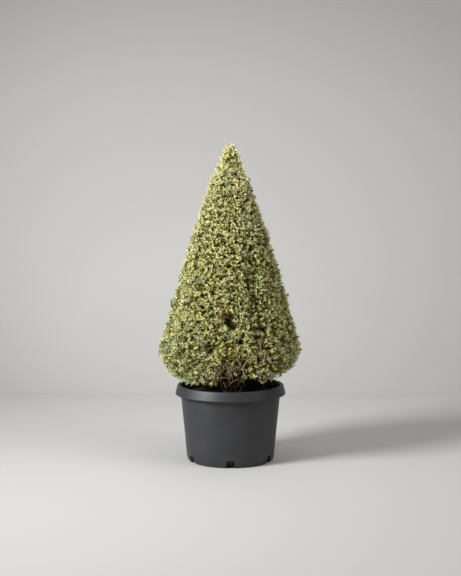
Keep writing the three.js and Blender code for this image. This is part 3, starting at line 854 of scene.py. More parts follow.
def mass_of(z, azimuth):
    """The number of a place's mass: six in the skirt, then four in the shoulder, then the spire."""
    skirt = np.floor(((azimuth - FRONT) % (2 * math.pi)) / (2 * math.pi) * SKIRT_SECTORS).astype(int)
    turned_half = azimuth - FRONT + math.pi / SHOULDER_SECTORS
    shoulder = np.floor((turned_half % (2 * math.pi)) / (2 * math.pi) * SHOULDER_SECTORS).astype(int)
    number = np.where(z < SKIRT_TOP, skirt, SKIRT_SECTORS + shoulder)
    return np.where(z >= SHOULDER_TOP, SKIRT_SECTORS + SHOULDER_SECTORS, number)


def hem_level(azimuth):
    """The level of the crown's lowest leaves. In front, over the bare wood, the hem is clipped higher."""
    return HEM_LEVEL + HEM_RISE * np.exp(-((wrapped(azimuth - HEM_RISE_AT) / HEM_RISE_WIDTH) ** 2))


def window_depth(points):
    """How deep points lie in the bare window: 1 on its rim, 0 at its centre."""
    return np.linalg.norm((points - WINDOW_CENTRE) / WINDOW_HALF, axis=-1)


# %% [markdown]
# A hand clips a cone a little unevenly, and each stem pushes its own soft bulge of leaves with a cleft beside
# it. The surface therefore has tufts the width of a hand and of a finger, and a few named clefts and hollows
# where the dark inside shows. A few small tufts stand out, and low on two sides the crown is cut under.

# %% Unevenness of the clipped surface
CLEFTS = [
    # (azimuth and half width in degrees, lowest and highest level, depth)
    (-66, 5.0, 0.34, 0.74, 0.019),
    (-84, 4.0, 0.43, 0.56, 0.014),
    (-112, 4.0, 0.30, 0.44, 0.016),
    (-20, 5.0, 0.34, 0.60, 0.018),
    (35, 5.0, 0.33, 0.64, 0.020),
    (88, 5.0, 0.36, 0.70, 0.018),
    (142, 5.0, 0.32, 0.58, 0.020),
    (-160, 5.0, 0.36, 0.66, 0.016),
]
HOLLOWS = [
    # (azimuth in degrees, level, half size, depth: a depth below 0 is a tuft that stands out)
    (-92.5, 0.486, 0.016, 0.070),
    (-88.5, 0.464, 0.013, 0.060),
    (-107, 0.396, 0.016, 0.045),
    (-117, 0.503, 0.010, 0.018),
    (-60, 0.455, 0.014, 0.020),
    (60, 0.520, 0.022, 0.030),
    (165, 0.440, 0.022, 0.030),
    (180, 0.524, 0.009, -0.011),
    (-5, 0.352, 0.014, -0.006),
    (180, 0.382, 0.030, -0.005),
    (-176, 0.318, 0.016, -0.004),
]
UNDERCUTS = [
    # (azimuth and half width in degrees, the level below which the crown draws in, depth)
    (0, 50, 0.340, 0.031),
    (180, 42, 0.365, 0.007),
]


def surface_dip(z, azimuth):
    """How far the leaves' surface lies inside the outline at a place."""
    point = polar(outline_radius(z), azimuth, z)
    dip = 0.0025 * (1 + noise_field(point, 0.085, 0.2)) + 0.0025 * (1 + noise_field(point, 0.034, 0.9))
    for angle, half_width, low, high, depth in CLEFTS:
        wander = math.radians(half_width) * noise_field(point, 0.12, 1.4)
        across = wrapped(azimuth - math.radians(angle) + wander) / math.radians(half_width)
        along = np.clip(np.minimum(z - low, high - z) / 0.09, 0, 1)
        dip = dip + depth * np.exp(-(across**2)) * along
    for angle, level, half_size, depth in HOLLOWS:
        sideways = wrapped(azimuth - math.radians(angle)) * outline_radius(z)
        dip = dip + depth * np.exp(-(sideways**2 + (z - level) ** 2) / half_size**2)
    for angle, half_width, level, depth in UNDERCUTS:
        near = np.exp(-((wrapped(azimuth - math.radians(angle)) / math.radians(half_width)) ** 2))
        dip = dip + depth * near * np.clip((level - z) / 0.055, 0, 1)
    return dip


print("surface dip", surface_dip(np.array([0.4, 0.6]), np.array([-1.5, 0.5])).round(4))

# %% [markdown]
# ## Trunk and boughs
#
# The limbs follow the lines of the CAD ones, and each bough runs on as the stem of its mass. A recipe makes a
# limb from a line of points that carry a radius: it sweeps a circle along the line, closes the ends, and
# pushes the surface in and out along a stretched noise, so that the bark has real relief and the limb isn't a
# smooth pipe.

# %% Limb recipe
BARK_SQUEEZE = (1, 1, 0.25)


def limb_recipe():
    """Lines of points with a thickness swept into limbs with bark."""
    recipe = Recipe("limbs_along_lines")
    sides = recipe.input("Sides", "Int")
    depth = recipe.input("Bark Depth", "Float")
    scale = recipe.input("Bark Scale", "Float")
    finish = recipe.input("Material", "Material")
    lines = recipe.node("GeometryNodeMeshToCurve", {"Mesh": recipe.start()})
    ring = recipe.node("GeometryNodeCurvePrimitiveCircle", {"Resolution": sides, "Radius": 1.0})
    radius = recipe.attribute("thickness")
    values = {"Curve": lines.outputs[0], "Profile Curve": ring.outputs[0], "Scale": radius, "Fill Caps": True}
    swept = recipe.node("GeometryNodeCurveToMesh", values)
    place = recipe.node("GeometryNodeInputPosition").outputs[0]
    squeezed = recipe.node("ShaderNodeVectorMath", {0: place, 1: BARK_SQUEEZE}, operation="MULTIPLY")
    noise = recipe.node("ShaderNodeTexNoise", {"Vector": squeezed.outputs[0], "Scale": scale, "Detail": 4.0})
    push = recipe.reckon("MULTIPLY", recipe.reckon("ADD", noise.outputs[0], -0.5), depth)
    normal = recipe.node("GeometryNodeInputNormal").outputs[0]
    offset = recipe.node("ShaderNodeVectorMath", {0: normal, "Scale": push}, operation="SCALE").outputs[0]
    moved = recipe.node("GeometryNodeSetPosition", {"Geometry": swept.outputs["Mesh"], "Offset": offset})
    recipe.finish(recipe.dress(recipe.realize(moved.outputs[0]), finish))
    return recipe


def lines_object(name, lines, radii):
    """Lines of points as one mesh of edges. Each line is an (n, 3) array with n radii."""
    points = np.concatenate(lines)
    starts = np.cumsum([0] + [len(line) for line in lines])
    pairs = [np.stack([np.arange(a, b - 1), np.arange(a + 1, b)], 1) for a, b in zip(starts, starts[1:])]
    edges = np.concatenate(pairs)
    mesh = bpy.data.meshes.new(name)
    mesh.vertices.add(len(points))
    mesh.vertices.foreach_set("co", points.ravel())
    mesh.edges.add(len(edges))
    mesh.edges.foreach_set("vertices", edges.ravel())
    put_attribute(mesh, "thickness", "FLOAT", np.concatenate(radii))
    return link(bpy.data.objects.new(name, mesh))


def smooth_line(points, count):
    """A Catmull-Rom line through points, like the CAD limbs' lines, as `count` points evenly spaced."""
    points = np.asarray(points, dtype=float)
    padded = np.vstack([2 * points[0] - points[1], points, 2 * points[-1] - points[-2]])
    fine = []
    for a, b, c, d in zip(padded, padded[1:], padded[2:], padded[3:]):
        t = np.linspace(0, 1, 24, endpoint=False)[:, None]
        square = (2 * a - 5 * b + 4 * c - d) * t**2
        cube = (3 * b - a - 3 * c + d) * t**3
        fine.append(0.5 * (2 * b + (c - a) * t + square + cube))
    fine = np.vstack([*fine, points[-1:]])
    length = np.concatenate([[0], np.cumsum(np.linalg.norm(np.diff(fine, axis=0), axis=1))])
    wanted = np.linspace(0, length[-1], count)
    return np.stack([np.interp(wanted, length, fine[:, i]) for i in range(3)], axis=1)


def limb_piece(name, lines, radii, sides, depth, scale, finish, nodes):
    """A piece of limbs from lines, standing for CAD nodes."""
    piece = lines_object(name, lines, radii)
    limbs.bake(piece, {"Sides": sides, "Bark Depth": depth, "Bark Scale": scale, "Material": finish})
    shade_smooth(piece.data)
    hand_in(piece, nodes)
    print(name, len(piece.data.polygons), "faces")


limbs = limb_recipe()

# %% [markdown]
# The trunk swells into a root flare where it meets the compost. The boughs start inside the trunk, so that
# each fork is closed.

# %% Trunk and boughs
CLEAR = 0.0003
TRUNK_FOOT = COMPOST_LEVEL + CLEAR
TRUNK_TIP = 0.716
TRUNK_FOOT_RADIUS = 0.0125
TRUNK_TIP_RADIUS = 0.0055
FLARE = 0.0105
FLARE_HEIGHT = 0.013
BOUGH_SWING = 0.12  # radians
SKIRT_BOUGH = {
    "ends": (0.0070, 0.0046),
    "fork": 0.236,
    "step": 0.005,
    "reach": 0.122,
    "level": 0.396,
    "sag": 0.004,
}
SHOULDER_BOUGH = {
    "ends": (0.0048, 0.0036),
    "fork": 0.462,
    "step": 0.007,
    "reach": 0.078,
    "level": 0.604,
    "sag": 0.002,
}
TRUNK_WAY = [
    (0, 0, TRUNK_FOOT),
    (0, 0, TRUNK_FOOT + 0.04),
    (0.003, 0.002, 0.4),
    (-0.002, 0.003, 0.56),
    (0, 0, TRUNK_TIP),
]
trunk_line = smooth_line(TRUNK_WAY, 130)


def trunk_radii():
    """The trunk's taper, with a flare at its foot."""
    share = np.linspace(0, 1, len(trunk_line))
    taper = TRUNK_FOOT_RADIUS + (TRUNK_TIP_RADIUS - TRUNK_FOOT_RADIUS) * share
    return taper + FLARE * np.exp(-(trunk_line[:, 2] - TRUNK_FOOT) / FLARE_HEIGHT)


def bough_line(azimuth, fork, bough, count=60):
    """A bough's line, from inside the trunk out and up to a point inside its mass."""
    start = trunk_line[np.argmin(abs(trunk_line[:, 2] - fork))]
    end = polar(bough["reach"], azimuth, bough["level"])
    middle = (fork + bough["level"]) / 2 - bough["sag"]
    return smooth_line([start, polar(bough["reach"] * 0.5, azimuth + BOUGH_SWING, middle), end], count)


def bough_tier(count, turn, bough):
    """One tier of boughs round the trunk, each as its line and the radii at its two ends."""
    azimuths = [FRONT + (i + turn) * 2 * math.pi / count for i in range(count)]
    forks = [bough["fork"] + bough["step"] * (i % 3) for i in range(count)]
    return [(bough_line(azimuth, fork, bough), bough["ends"]) for azimuth, fork in zip(azimuths, forks)]


boughs = bough_tier(SKIRT_SECTORS, 0.5, SKIRT_BOUGH) + bough_tier(SHOULDER_SECTORS, 0, SHOULDER_BOUGH)
bough_lines = [line for line, _ in boughs]
bough_radii = [np.linspace(*ends, len(line)) for line, ends in boughs]
limb_piece("trunk_bark", [trunk_line], [trunk_radii()], 28, 0.0030, 95, bark.material, ["trunk"])
limb_piece("bough_bark", bough_lines, bough_radii, 12, 0.0012, 160, bark.material, BOUGHS)

# %% [markdown]
# ## Branches inside the masses
#
# From each mass's own stem, branches fan out towards the surface, side branches leave them, and twigs leave
# those. `grow` makes one generation: it takes evenly spread places at a depth under the surface, finds the
# nearest end of the generation before within the same mass, and draws a gently bent line from one to the
# other.

# %% Branches
SPIRE_STEM = 0.06
FIRST_BRANCHES = {"count": 150, "depth": 0.085, "steps": 8, "jitter": 0.006}
SECOND_BRANCHES = {"count": 900, "depth": 0.046, "steps": 6, "jitter": 0.004}
LEAST_DEPTH = 0.006
BRANCH_BEND = 0.06

rng = np.random.default_rng(20)
stem_ends = np.array([line[-1] for line in bough_lines] + [np.array([0, 0, TRUNK_TIP + SPIRE_STEM])])


def bent(start, end, count, bend):
    """Lines from starts to ends, bent towards a direction, as an (n, count, 3) array."""
    t = np.linspace(0, 1, count)[None, :, None]
    return start[:, None] * (1 - t) + end[:, None] * t + bend[:, None] * 4 * t * (1 - t)


def nearest_in_mass(points, masses, parents, parent_masses):
    """For each point, the number of the nearest parent in the same mass."""
    found = np.zeros(len(points), dtype=int)
    for mass in np.unique(masses):
        own = np.flatnonzero(masses == mass)
        theirs = np.flatnonzero(parent_masses == mass)
        gap = np.linalg.norm(points[own][:, None] - parents[theirs][None], axis=2)
        found[own] = theirs[gap.argmin(axis=1)]
    return found


def grow(parents, parent_masses, count, depth, steps, jitter):
    """One generation of branches. Gives their lines, as an (n, steps, 3) array, and their masses."""
    z, azimuth = spread(count)
    azimuth = azimuth + rng.normal(0, jitter, count) / np.maximum(outline_radius(z), 0.03)
    z = np.clip(z + rng.normal(0, jitter, count), HEM_LEVEL + 0.002, CROWN_TOP - 0.002)
    masses = mass_of(z, azimuth)
    most = np.maximum(outline_radius(z) - LEAST_DEPTH, 0.004)
    ends = polar(outline_radius(z), azimuth, z) - outward(z, azimuth) * np.minimum(depth, most)[:, None]
    start = parents[nearest_in_mass(ends, masses, parents, parent_masses)]
    length = np.linalg.norm(ends - start, axis=1, keepdims=True)
    bend = rng.normal(0, BRANCH_BEND, (count, 3)) * length - np.array([0, 0, BRANCH_BEND]) * length
    return bent(start, ends, steps, bend), masses


first, first_masses = grow(stem_ends, np.arange(len(stem_ends)), **FIRST_BRANCHES)
joints = np.concatenate([first[:, 4], first[:, 6], first[:, 7]])
second, second_masses = grow(joints, np.tile(first_masses, 3), **SECOND_BRANCHES)
branch_radii = [np.linspace(0.0026, 0.0015, 8)] * len(first) + [np.linspace(0.0015, 0.0009, 6)] * len(second)
limb_piece("branches", [*first, *second], branch_radii, 5, 0.0004, 300, twig_bark.material, MASSES)

# %% [markdown]
# ## Twigs
#
# The last generation carries the leaves. Each twig leaves the nearest side branch, comes out under its own
# place and stands up through the surface, leaning upwards a little as the CAD twigs do. Twigs are thinned in
# the bare window, where the old wood shows, and in the deepest clefts. A few strays stand proud, more of them
# low down, but none far past the shears.

# %% Twigs
TWIG_COUNT = 10400
TWIG_JITTER = 0.0035
TWIG_LEAN = 0.28
TWIG_LIFT = 0.35
TWIG_RADII = np.array([0.0010, 0.0009, 0.0008, 0.0006, 0.0004])
LEAFY_LENGTH = 0.030
SHEAR_SLACK = 0.010
WINDOW_RIM = 1.15
WINDOW_SHARE = 0.52  # of the twigs in the window that stay
DEEP_CLEFT = 0.042
CLEFT_SHARE = 0.2  # of the twigs in a deep cleft that stay


def plan_twigs():
    """The twigs' lines as an (n, 5, 3) array, with their places and how far each is sunk."""
    z, azimuth = spread(TWIG_COUNT)
    azimuth = azimuth + rng.normal(0, TWIG_JITTER, TWIG_COUNT) / np.maximum(outline_radius(z), 0.02)
    z = np.clip(z + rng.normal(0, TWIG_JITTER, TWIG_COUNT), HEM_LEVEL + 0.001, CROWN_TOP - 0.001)
    surface = polar(outline_radius(z), azimuth, z)
    out = outward(z, azimuth)
    low = np.clip((0.46 - z) / 0.12, 0, 1)
    lean = rng.normal(0, TWIG_LEAN, (TWIG_COUNT, 3)) * (1 + 0.5 * low)[:, None]
    lift = TWIG_LIFT * (1 - np.clip((0.33 - z) / 0.05, 0, 1) * 1.6)
    along = unit(out + lift[:, None] * np.array([0, 0, 1.0]) + lean)
    dip = surface_dip(z, azimuth) + (0.018 + 0.010 * low) * rng.random(TWIG_COUNT) ** 1.4
    dip = dip - 0.003 * np.clip(-np.cos(azimuth), 0, 1) - 0.004 * np.clip((z - 0.98) / 0.04, 0, 1)
    stray = rng.random(TWIG_COUNT) < 0.05 + 0.08 * low
    proud = 0.008 + 0.004 * low
    dip = np.where(stray, surface_dip(z, azimuth) - proud * rng.random(TWIG_COUNT), dip)
    inside = window_depth(surface) < WINDOW_RIM
    dip = np.where(inside, dip + rng.uniform(0.0, 0.05, TWIG_COUNT), dip)
    kept = (~inside | (rng.random(TWIG_COUNT) < WINDOW_SHARE)) & (z > hem_level(azimuth) + 0.004)
    kept &= (surface_dip(z, azimuth) < DEEP_CLEFT) | (rng.random(TWIG_COUNT) < CLEFT_SHARE)
    most = np.maximum(outline_radius(z) - 0.004, 0.002)
    tip = surface - out * np.minimum(dip, most)[:, None]
    kept &= np.hypot(tip[:, 0], tip[:, 1]) < outline_radius(tip[:, 2]) + 0.6 * SHEAR_SLACK
    root = tip - along * LEAFY_LENGTH
    masses = mass_of(z, azimuth)
    start = second[:, -1][nearest_in_mass(root, masses, second[:, -1], second_masses)]
    middle = start * 0.35 + root * 0.65 - out * 0.006
    halfway = (root + tip) / 2 + rng.normal(0, 0.0012, (TWIG_COUNT, 3))
    lines = np.stack([start, middle, root, halfway, tip], axis=1)
    sunk = dip - surface_dip(z, azimuth)
    return lines[kept], z[kept], azimuth[kept], sunk[kept]


def tier_masses(part):
    """The names of the skirt's masses, or of all the others."""
    return [name for name in MASSES if name.startswith("skirt") == (part == "skirt")]


twig_lines, twig_z, twig_azimuth, twig_depth = plan_twigs()
for part, chosen in (("skirt", twig_z < SKIRT_TOP), ("top", twig_z >= SKIRT_TOP)):
    own = list(twig_lines[chosen])
    radii = [TWIG_RADII] * len(own)
    limb_piece(f"{part}_twigs", own, radii, 3, 0.0, 300, twig_bark.material, tier_masses(part))

# %% [markdown]
# ## Bare twigs in the window
#
# At the foot of the crown, in front, the leaves are thin and old wood shows: thin stems that fan up and out
# from the base and arch over, and finer ones that curl. The three CAD twigs set the way, and the others are
# grown round them by a rule with a fixed seed.

# %% Bare twigs
BARE_LINES = [
    [
        (-0.010, -0.012, 0.238),
        (-0.014, -0.060, 0.252),
        (-0.002, -0.118, 0.306),
        (-0.008, -0.142, 0.328),
        (0.002, -0.146, 0.345),
    ],
    [
        (0.010, -0.012, 0.240),
        (0.022, -0.060, 0.260),
        (0.025, -0.116, 0.304),
        (0.029, -0.140, 0.328),
        (0.020, -0.148, 0.350),
    ],
    [
        (0.004, -0.016, 0.236),
        (0.034, -0.078, 0.254),
        (0.022, -0.116, 0.240),
        (-0.024, -0.112, 0.246),
        (-0.030, -0.094, 0.274),
    ],
]
BARE_STEPS = 40
BARE_ENDS = (0.0021, 0.0009)
FAN_COUNT = 10
CURL_COUNT = 30
FINE_STEPS = 22
FINE_RADII = (0.0005, 0.0008)


def fan_of_twigs():
    """Thin bare stems that rise from the base, arch outwards through the window and curl at their ends."""
    lines = []
    for _ in range(FAN_COUNT):
        swing = rng.normal(0.0, 0.20)
        reach = rng.uniform(0.165, 0.222)
        rise = rng.uniform(0.12, 0.22)
        foot = polar(rng.uniform(0.010, 0.035), FRONT + swing, COMPOST_LEVEL + rng.uniform(0.0, 0.02))
        knee = polar(reach * 0.6, FRONT + swing * 1.1, COMPOST_LEVEL + rise * rng.uniform(0.2, 0.5))
        elbow = polar(reach, FRONT + swing * 1.1 + rng.normal(0, 0.06), COMPOST_LEVEL + rise * 0.7)
        curl = elbow + np.array([rng.normal(0, 0.024), rng.uniform(-0.006, 0.018), rise * 0.30])
        end = curl + np.array([rng.normal(0, 0.02), rng.uniform(0, 0.014), rng.uniform(-0.030, 0.02)])
        lines.append(smooth_line([foot, knee, elbow, curl, end], FINE_STEPS))
    return lines


def curling_twigs():
    """Thin stems over the window's face. Each bends steadily, so that some close into loops."""
    lines = []
    for _ in range(CURL_COUNT):
        length = rng.uniform(0.05, 0.12)
        stride = length / (FINE_STEPS - 1)
        heading = rng.normal(math.pi / 2, 0.8) + rng.normal(0, 36) * stride * np.arange(FINE_STEPS)
        across = rng.normal(0.004, 0.046) + np.cumsum(np.cos(heading)) * stride
        level = rng.uniform(0.265, 0.375) + np.cumsum(np.sin(heading)) * stride
        level = np.maximum(level, COMPOST_LEVEL + 0.012)
        radius = outline_radius(level) - rng.uniform(0.002, 0.022)
        lines.append(polar(radius, FRONT + across / radius, level))
    return lines


fan = fan_of_twigs() + curling_twigs()
lines = [smooth_line(points, BARE_STEPS) for points in BARE_LINES] + fan
radii = [np.linspace(*BARE_ENDS, BARE_STEPS)] * len(BARE_LINES)
radii += [np.linspace(s, s * 0.5, FINE_STEPS) for s in rng.uniform(*FINE_RADII, len(fan))]
limb_piece("bare_twigs", lines, radii, 8, 0.0005, 260, bare_bark.material, BARE_TWIGS)

# %% [markdown]
# ## Leaves
#
# A boxwood leaf is a small oval, cupped and set in pairs, each pair crossing the one before. Here it has
# seven faces: three for the cream margin on each side and one for the green middle. A leaf is modelled once
# in three cuts, and a recipe copies the cuts to points that carry a turn, a size and a cut.

# %% Leaf cuts
LEAF_LENGTH = 0.0105
LEAF_WIDTH = 0.0040
LEAF_CUTS = [
    # (how far along the leaf is broadest, cup, droop)
    (0.40, 0.0011, 0.0010),
    (0.44, 0.0015, 0.0016),
    (0.36, 0.0008, 0.0004),
]


def leaf_cut(name, broad, cup, droop):
    """One leaf along +Y with its face to +Z, with its margin's faces marked."""
    half = LEAF_WIDTH / 2
    vertices = [
        (0, 0, 0),
        (half, broad * LEAF_LENGTH, cup),
        (half * 0.72, (broad + 0.34) * LEAF_LENGTH, cup - droop * 0.6),
        (0, LEAF_LENGTH, -droop),
        (-half * 0.72, (broad + 0.34) * LEAF_LENGTH, cup - droop * 0.6),
        (-half, broad * LEAF_LENGTH, cup),
        (half * 0.50, 0.50 * LEAF_LENGTH, cup * 0.2),
        (-half * 0.50, 0.50 * LEAF_LENGTH, cup * 0.2),
    ]
    faces = [(0, 1, 6), (1, 2, 6), (2, 3, 6), (0, 7, 5), (7, 4, 5), (7, 3, 4), (0, 6, 3, 7)]
    mesh = bpy.data.meshes.new(name)
    mesh.from_pydata(vertices, [], faces)
    layer = mesh.attributes.new("margin", "BOOLEAN", "FACE")
    layer.data.foreach_set("value", [True] * 6 + [False])
    return helper_object(name, mesh)


def leaf_recipe():
    """Copies leaf cuts to points, and gives margins and middles their own materials."""
    recipe = Recipe("leaves_on_points")
    shapes = [recipe.input(f"Cut {i + 1}", "Object") for i in range(len(LEAF_CUTS))]
    margin = recipe.input("Margin", "Material")
    middle = recipe.input("Middle", "Material")
    gathered = recipe.node("GeometryNodeGeometryToInstance")
    for shape in reversed(shapes):
        info = recipe.node("GeometryNodeObjectInfo", {"Object": shape})
        recipe.tree.links.new(info.outputs["Geometry"], gathered.inputs[0])
    points = recipe.node("GeometryNodeMeshToPoints", {"Mesh": recipe.start()})
    copies = recipe.node(
        "GeometryNodeInstanceOnPoints",
        {
            "Points": points.outputs[0],
            "Instance": gathered.outputs[0],
            "Pick Instance": True,
            "Instance Index": recipe.attribute("cut", "INT"),
            "Rotation": recipe.attribute("turn", "FLOAT_VECTOR"),
            "Scale": recipe.attribute("size"),
        },
    )
    plain = recipe.dress(recipe.realize(copies.outputs[0]), middle)
    recipe.finish(recipe.dress(plain, margin, Selection=recipe.attribute("margin", "BOOLEAN")))
    return recipe


cuts = [leaf_cut(f"cut_{i + 1}", *shape) for i, shape in enumerate(LEAF_CUTS)]
leaves = leaf_recipe()

# %% [markdown]
# The leaves' points are worked out for all twigs at once. Pairs of leaves stand close to the twig near its
# tip and open out below it. A leaf's face looks towards the twig's tip. Leaves whose tips would pass the
# shears or hang under the hem are left off, and leaves are thinned in the window.

# %% Leaf points
PAIR_STEPS = [0.0, 0.0032, 0.0073, 0.0126]
PAIR_LEANS = [22, 40, 50, 56]
PAIR_SIZES = [0.70, 0.95, 1.05, 1.05]
HEM_HANG = 0.006
THINNED = 0.06
THINNED_IN_WINDOW = 0.36


def leaf_points(lines):
    """Each leaf's root, direction, face normal and size, and the numbers of its twig and its pair."""
    tips = lines[:, -1]
    roots = lines[:, 2]
    along = unit(tips - roots)
    length = np.linalg.norm(tips - roots, axis=1)
    side = unit(np.cross(along, rng.normal(0, 1, along.shape)))
    other = np.cross(along, side)
    found = []
    for pair, (step, lean, size) in enumerate(zip(PAIR_STEPS, PAIR_LEANS, PAIR_SIZES)):
        for half in (0, 1):
            count = len(lines)
            turn = (pair % 2) * math.pi / 2 + half * math.pi + rng.normal(0, 0.22, count)
            angle = np.radians(lean + rng.normal(0, 13, count))
            sideways = side * np.cos(turn)[:, None] + other * np.sin(turn)[:, None]
            direction = along * np.cos(angle)[:, None] + sideways * np.sin(angle)[:, None]
            face = along * np.sin(angle)[:, None] - sideways * np.cos(angle)[:, None]
            place = tips - along * (step * (length / LEAFY_LENGTH))[:, None]
            sizes = size * rng.uniform(0.8, 1.15, count)
            found.append((place, direction, face, sizes, np.arange(count), np.full(count, pair)))
    return [np.concatenate(column) for column in zip(*found)]


def eulers(direction, face, roll):
    """XYZ Euler angles that turn +Y to a direction and +Z to a face normal, rolled about the direction."""
    x = unit(np.cross(direction, face))
    face = np.cross(x, direction)
    cos, sin = np.cos(roll)[:, None], np.sin(roll)[:, None]
    x, face = x * cos + face * sin, face * cos - x * sin
    pitch = np.arcsin(np.clip(-x[:, 2], -1, 1))
    return np.stack([np.arctan2(direction[:, 2], face[:, 2]), pitch, np.arctan2(x[:, 1], x[:, 0])], axis=1)


place, direction, face, size, twig, pair = leaf_points(twig_lines)
tips = place + direction * (LEAF_LENGTH * size)[:, None]
past_shears = np.hypot(tips[:, 0], tips[:, 1]) > outline_radius(tips[:, 2]) + SHEAR_SLACK
past_shears |= tips[:, 2] < hem_level(np.arctan2(tips[:, 1], tips[:, 0])) - HEM_HANG
thinned = rng.random(len(place)) < THINNED
in_window = window_depth(polar(outline_radius(twig_z), twig_azimuth, twig_z))[twig] < WINDOW_RIM
thinned |= in_window & (rng.random(len(place)) < THINNED_IN_WINDOW)
kept = ~past_shears & ~thinned
columns = (place, direction, face, size, twig, pair)
place, direction, face, size, twig, pair = (column[kept] for column in columns)
turn = eulers(direction, face, rng.normal(0, 0.25, len(place)))
cut = rng.integers(0, len(cuts), len(place))
print(f"{len(twig_lines)} twigs, {len(place)} leaves")

# %% [markdown]
# Inside, in the shade, the side branches and the boughs keep some old leaves. They are larger and dull, and
# they close the view through the crown. Their darker, nearly black colour is painted shade, so that the gaps
# between sprays look dark. None hangs in the window or near a cleft's surface.

# %% Inner leaves
INNER_PER_BRANCH = 13
BOUGH_LEAVES = 1800
BRANCH_CLOUD = 0.007  # how far the leaves stand off a side branch
BOUGH_CLOUD = 0.017  # and off a bough
INNER_DEPTH = 0.012


def inner_leaves():
    """Root, direction, face normal and size of the old leaves on the side branches and the boughs."""
    count = len(second) * INNER_PER_BRANCH
    branch = np.repeat(np.arange(len(second)), INNER_PER_BRANCH)
    share = rng.uniform(0.25, 1.1, count)[:, None]
    at = second[branch, 2] * (1 - share) + second[branch, 5] * share + rng.normal(0, BRANCH_CLOUD, (count, 3))
    lines = np.array(bough_lines)
    near = lines[rng.integers(0, len(lines), BOUGH_LEAVES), rng.integers(14, 60, BOUGH_LEAVES)]
    at = np.concatenate([at, near + rng.normal(0, BOUGH_CLOUD, near.shape)])
    count = len(at)
    out = unit(at * np.array([1, 1, 0.0]) + np.array([0, 0, 0.03]))
    facing = unit(out + rng.normal(0, 0.55, (count, 3)))
    aim = unit(np.cross(facing, rng.normal(0, 1, (count, 3))))
    open_air = window_depth(at) > 1.0
    azimuth = np.arctan2(at[:, 1], at[:, 0])
    deep = outline_radius(at[:, 2]) - np.hypot(at[:, 0], at[:, 1])
    inside = deep > INNER_DEPTH + 1.3 * np.maximum(surface_dip(at[:, 2], azimuth) - INNER_DEPTH, 0)
    keep = open_air & inside & (at[:, 2] > hem_level(azimuth))
    return at[keep], aim[keep], facing[keep], rng.uniform(1.3, 2.0, count)[keep]


inner = inner_leaves()
print(f"{len(inner[0])} inner leaves")

# %% [markdown]
# Sprays get their kind of colour by where they grow. Each kind has a weight at each twig, and a draw picks
# one. The top is yellower, partly for its young growth and partly as painted light, and the side to the key
# lamp is yellower as painted light. Sprays are duller low down, away from the light, round the window, in the
# clefts and where their twig is sunk under its neighbours: that is painted shade. Patches add to one kind's
# weight round a place.

# %% Kinds of spray
KINDS = list(LEAF_KINDS)
PATCHES = [
    # (azimuth in degrees, level, half size, kind, strength)
    (-138, 0.335, 0.075, "sage", 12.0),
    (-90, 1.010, 0.050, "gold", 5.0),
    (90, 1.010, 0.050, "gold", 5.0),
    (-120, 0.605, 0.014, "green", 3.0),
    (-117, 0.508, 0.013, "green", 4.0),
    (-137, 0.550, 0.016, "green", 2.0),
    (180, 0.524, 0.010, "green", 60.0),
    (-28, 0.830, 0.028, "bronze", 5.0),
    (-22, 0.630, 0.030, "bronze", 4.0),
    (-99, 0.515, 0.024, "bronze", 2.0),
    (-78, 0.350, 0.040, "bronze", 1.5),
    (70, 0.380, 0.060, "sage", 5.0),
    (110, 0.640, 0.016, "green", 3.0),
    (140, 0.420, 0.040, "bronze", 2.0),
]
# painted light: the side that faces the key lamp gets more of the yellow kinds
LIGHT_FROM = math.radians(-160)
TWIG_RANGE = 0.018  # how far an ordinary twig may be sunk


def spray_kinds():
    """The kind of each twig's leaves, as a number in KINDS."""
    azimuth, z = twig_azimuth, twig_z
    surface = polar(outline_radius(z), azimuth, z)
    to_light = np.cos(azimuth - LIGHT_FROM)
    high = np.clip((z - 0.45) / 0.55, 0, 1)
    low = np.clip((0.55 - z) / 0.2, 0, 1)
    patch = noise_field(surface, 0.16, 2.1)
    depth = surface_dip(z, azimuth)
    sunk = np.clip(twig_depth / TWIG_RANGE, 0, 1)
    bare = np.clip(1.5 - window_depth(surface), 0, 1)
    # painted shade: the side away from the lamp, clefts, sunk twigs and the window add to the olive kind's
    # weight
    shaded = 0.5 * np.clip(-to_light, 0, 1) + 22 * depth + 3 * sunk**2 + 3.5 * bare
    # less cream and more olive low down and on sunk twigs, more gold and straw at the top and towards the
    # lamp: painted light and shade
    weights = np.stack(
        [
            2.8 - 1.2 * sunk - 0.7 * low,
            1.1 + 0.8 * high + 0.5 * np.abs(to_light),
            0.10 + 1.3 * high**2 + 0.35 * np.clip(to_light, 0, 1),
            1.3 - 0.4 * high,
            np.where(patch > 0.3, 1.6, 0.35) * (1 - 0.6 * high),
            0.1 + shaded - 0.3 * high + 0.5 * low,
            np.where(noise_field(surface, 0.11, 5.3) > 0.75, 0.4, 0.0),
            np.where(noise_field(surface, 0.05, 3.7) > 0.55, 0.6, 0.04),
            np.zeros_like(z),
        ],
        axis=1,
    )
    for angle, level, half_size, kind, strength in PATCHES:
        sideways = wrapped(azimuth - math.radians(angle)) * outline_radius(z)
        near = np.exp(-(sideways**2 + (z - level) ** 2) / half_size**2)
        weights[:, KINDS.index(kind)] += strength * near
    weights = np.maximum(weights, 0)
    pick = np.cumsum(weights, axis=1) / weights.sum(axis=1, keepdims=True)
    return (rng.random(len(z))[:, None] > pick).sum(axis=1)


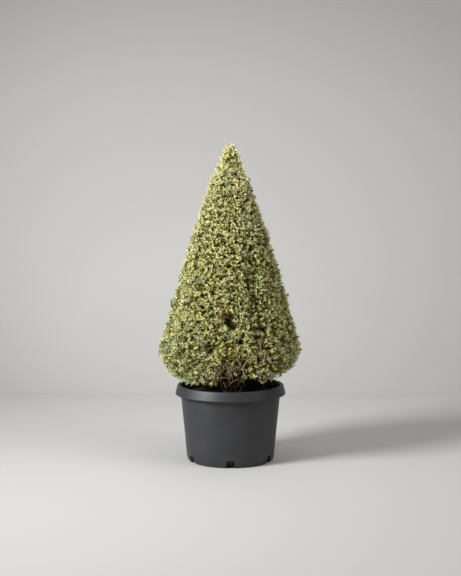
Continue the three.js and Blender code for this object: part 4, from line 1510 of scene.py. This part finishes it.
kinds = spray_kinds()
print({kind: int((kinds == number).sum()) for number, kind in enumerate(KINDS)})

# %% [markdown]
# The older pairs down a twig, deeper in the crown, are often dull, less so near the crown's top, where all
# growth is young. Their dull olive is partly age and partly painted shade between the sprays, and the lighter
# top is partly painted light. Then each kind's leaves are joined into one piece. A kind with too many leaves
# for one piece is split at the skirt's top.

# %% Leaf pieces
OLD_AND_SHADED_SHARES = [0.0, 0.07, 0.45, 0.85]
MOST_LEAVES = 24000

# painted light and shade: fewer dull pairs at the top, more of them lower down each twig
young_and_lit = 1 - 0.7 * np.clip((twig_z - 0.75) / 0.2, 0, 1)
old_and_shaded = rng.random(len(place)) < np.array(OLD_AND_SHADED_SHARES)[pair] * young_and_lit[twig]
leaf_kinds = np.where(old_and_shaded, KINDS.index("olive"), kinds[twig])
# the inner leaves take the shade kind: painted shade
leaf_kinds = np.concatenate([leaf_kinds, np.full(len(inner[0]), KINDS.index("shade"))])
place = np.concatenate([place, inner[0]])
turn = np.concatenate([turn, eulers(inner[1], inner[2], rng.normal(0, 0.3, len(inner[0])))])
size = np.concatenate([size, inner[3]])
cut = np.concatenate([cut, rng.integers(0, len(cuts), len(inner[0]))])


def leaf_piece(name, kind, own, nodes):
    """The chosen leaves of one kind as one piece."""
    mesh = bpy.data.meshes.new(name)
    mesh.vertices.add(len(own))
    mesh.vertices.foreach_set("co", place[own].ravel())
    put_attribute(mesh, "turn", "FLOAT_VECTOR", turn[own])
    put_attribute(mesh, "size", "FLOAT", size[own])
    put_attribute(mesh, "cut", "INT", cut[own])
    piece = link(bpy.data.objects.new(name, mesh))
    margin, middle = LEAF_FINISHES[kind]
    values = {f"Cut {i + 1}": shape for i, shape in enumerate(cuts)}
    leaves.bake(piece, {**values, "Margin": margin, "Middle": middle})
    hand_in(piece, nodes)
    print(name, len(own), "leaves")


for number, kind in enumerate(KINDS):
    chosen = leaf_kinds == number
    if chosen.sum() < MOST_LEAVES:
        leaf_piece(f"leaves_{kind}", kind, np.flatnonzero(chosen), MASSES)
        continue
    for part, inside in (("skirt", place[:, 2] < SKIRT_TOP), ("top", place[:, 2] >= SKIRT_TOP)):
        leaf_piece(f"leaves_{kind}_{part}", kind, np.flatnonzero(chosen & inside), tier_masses(part))
drop(*cuts)
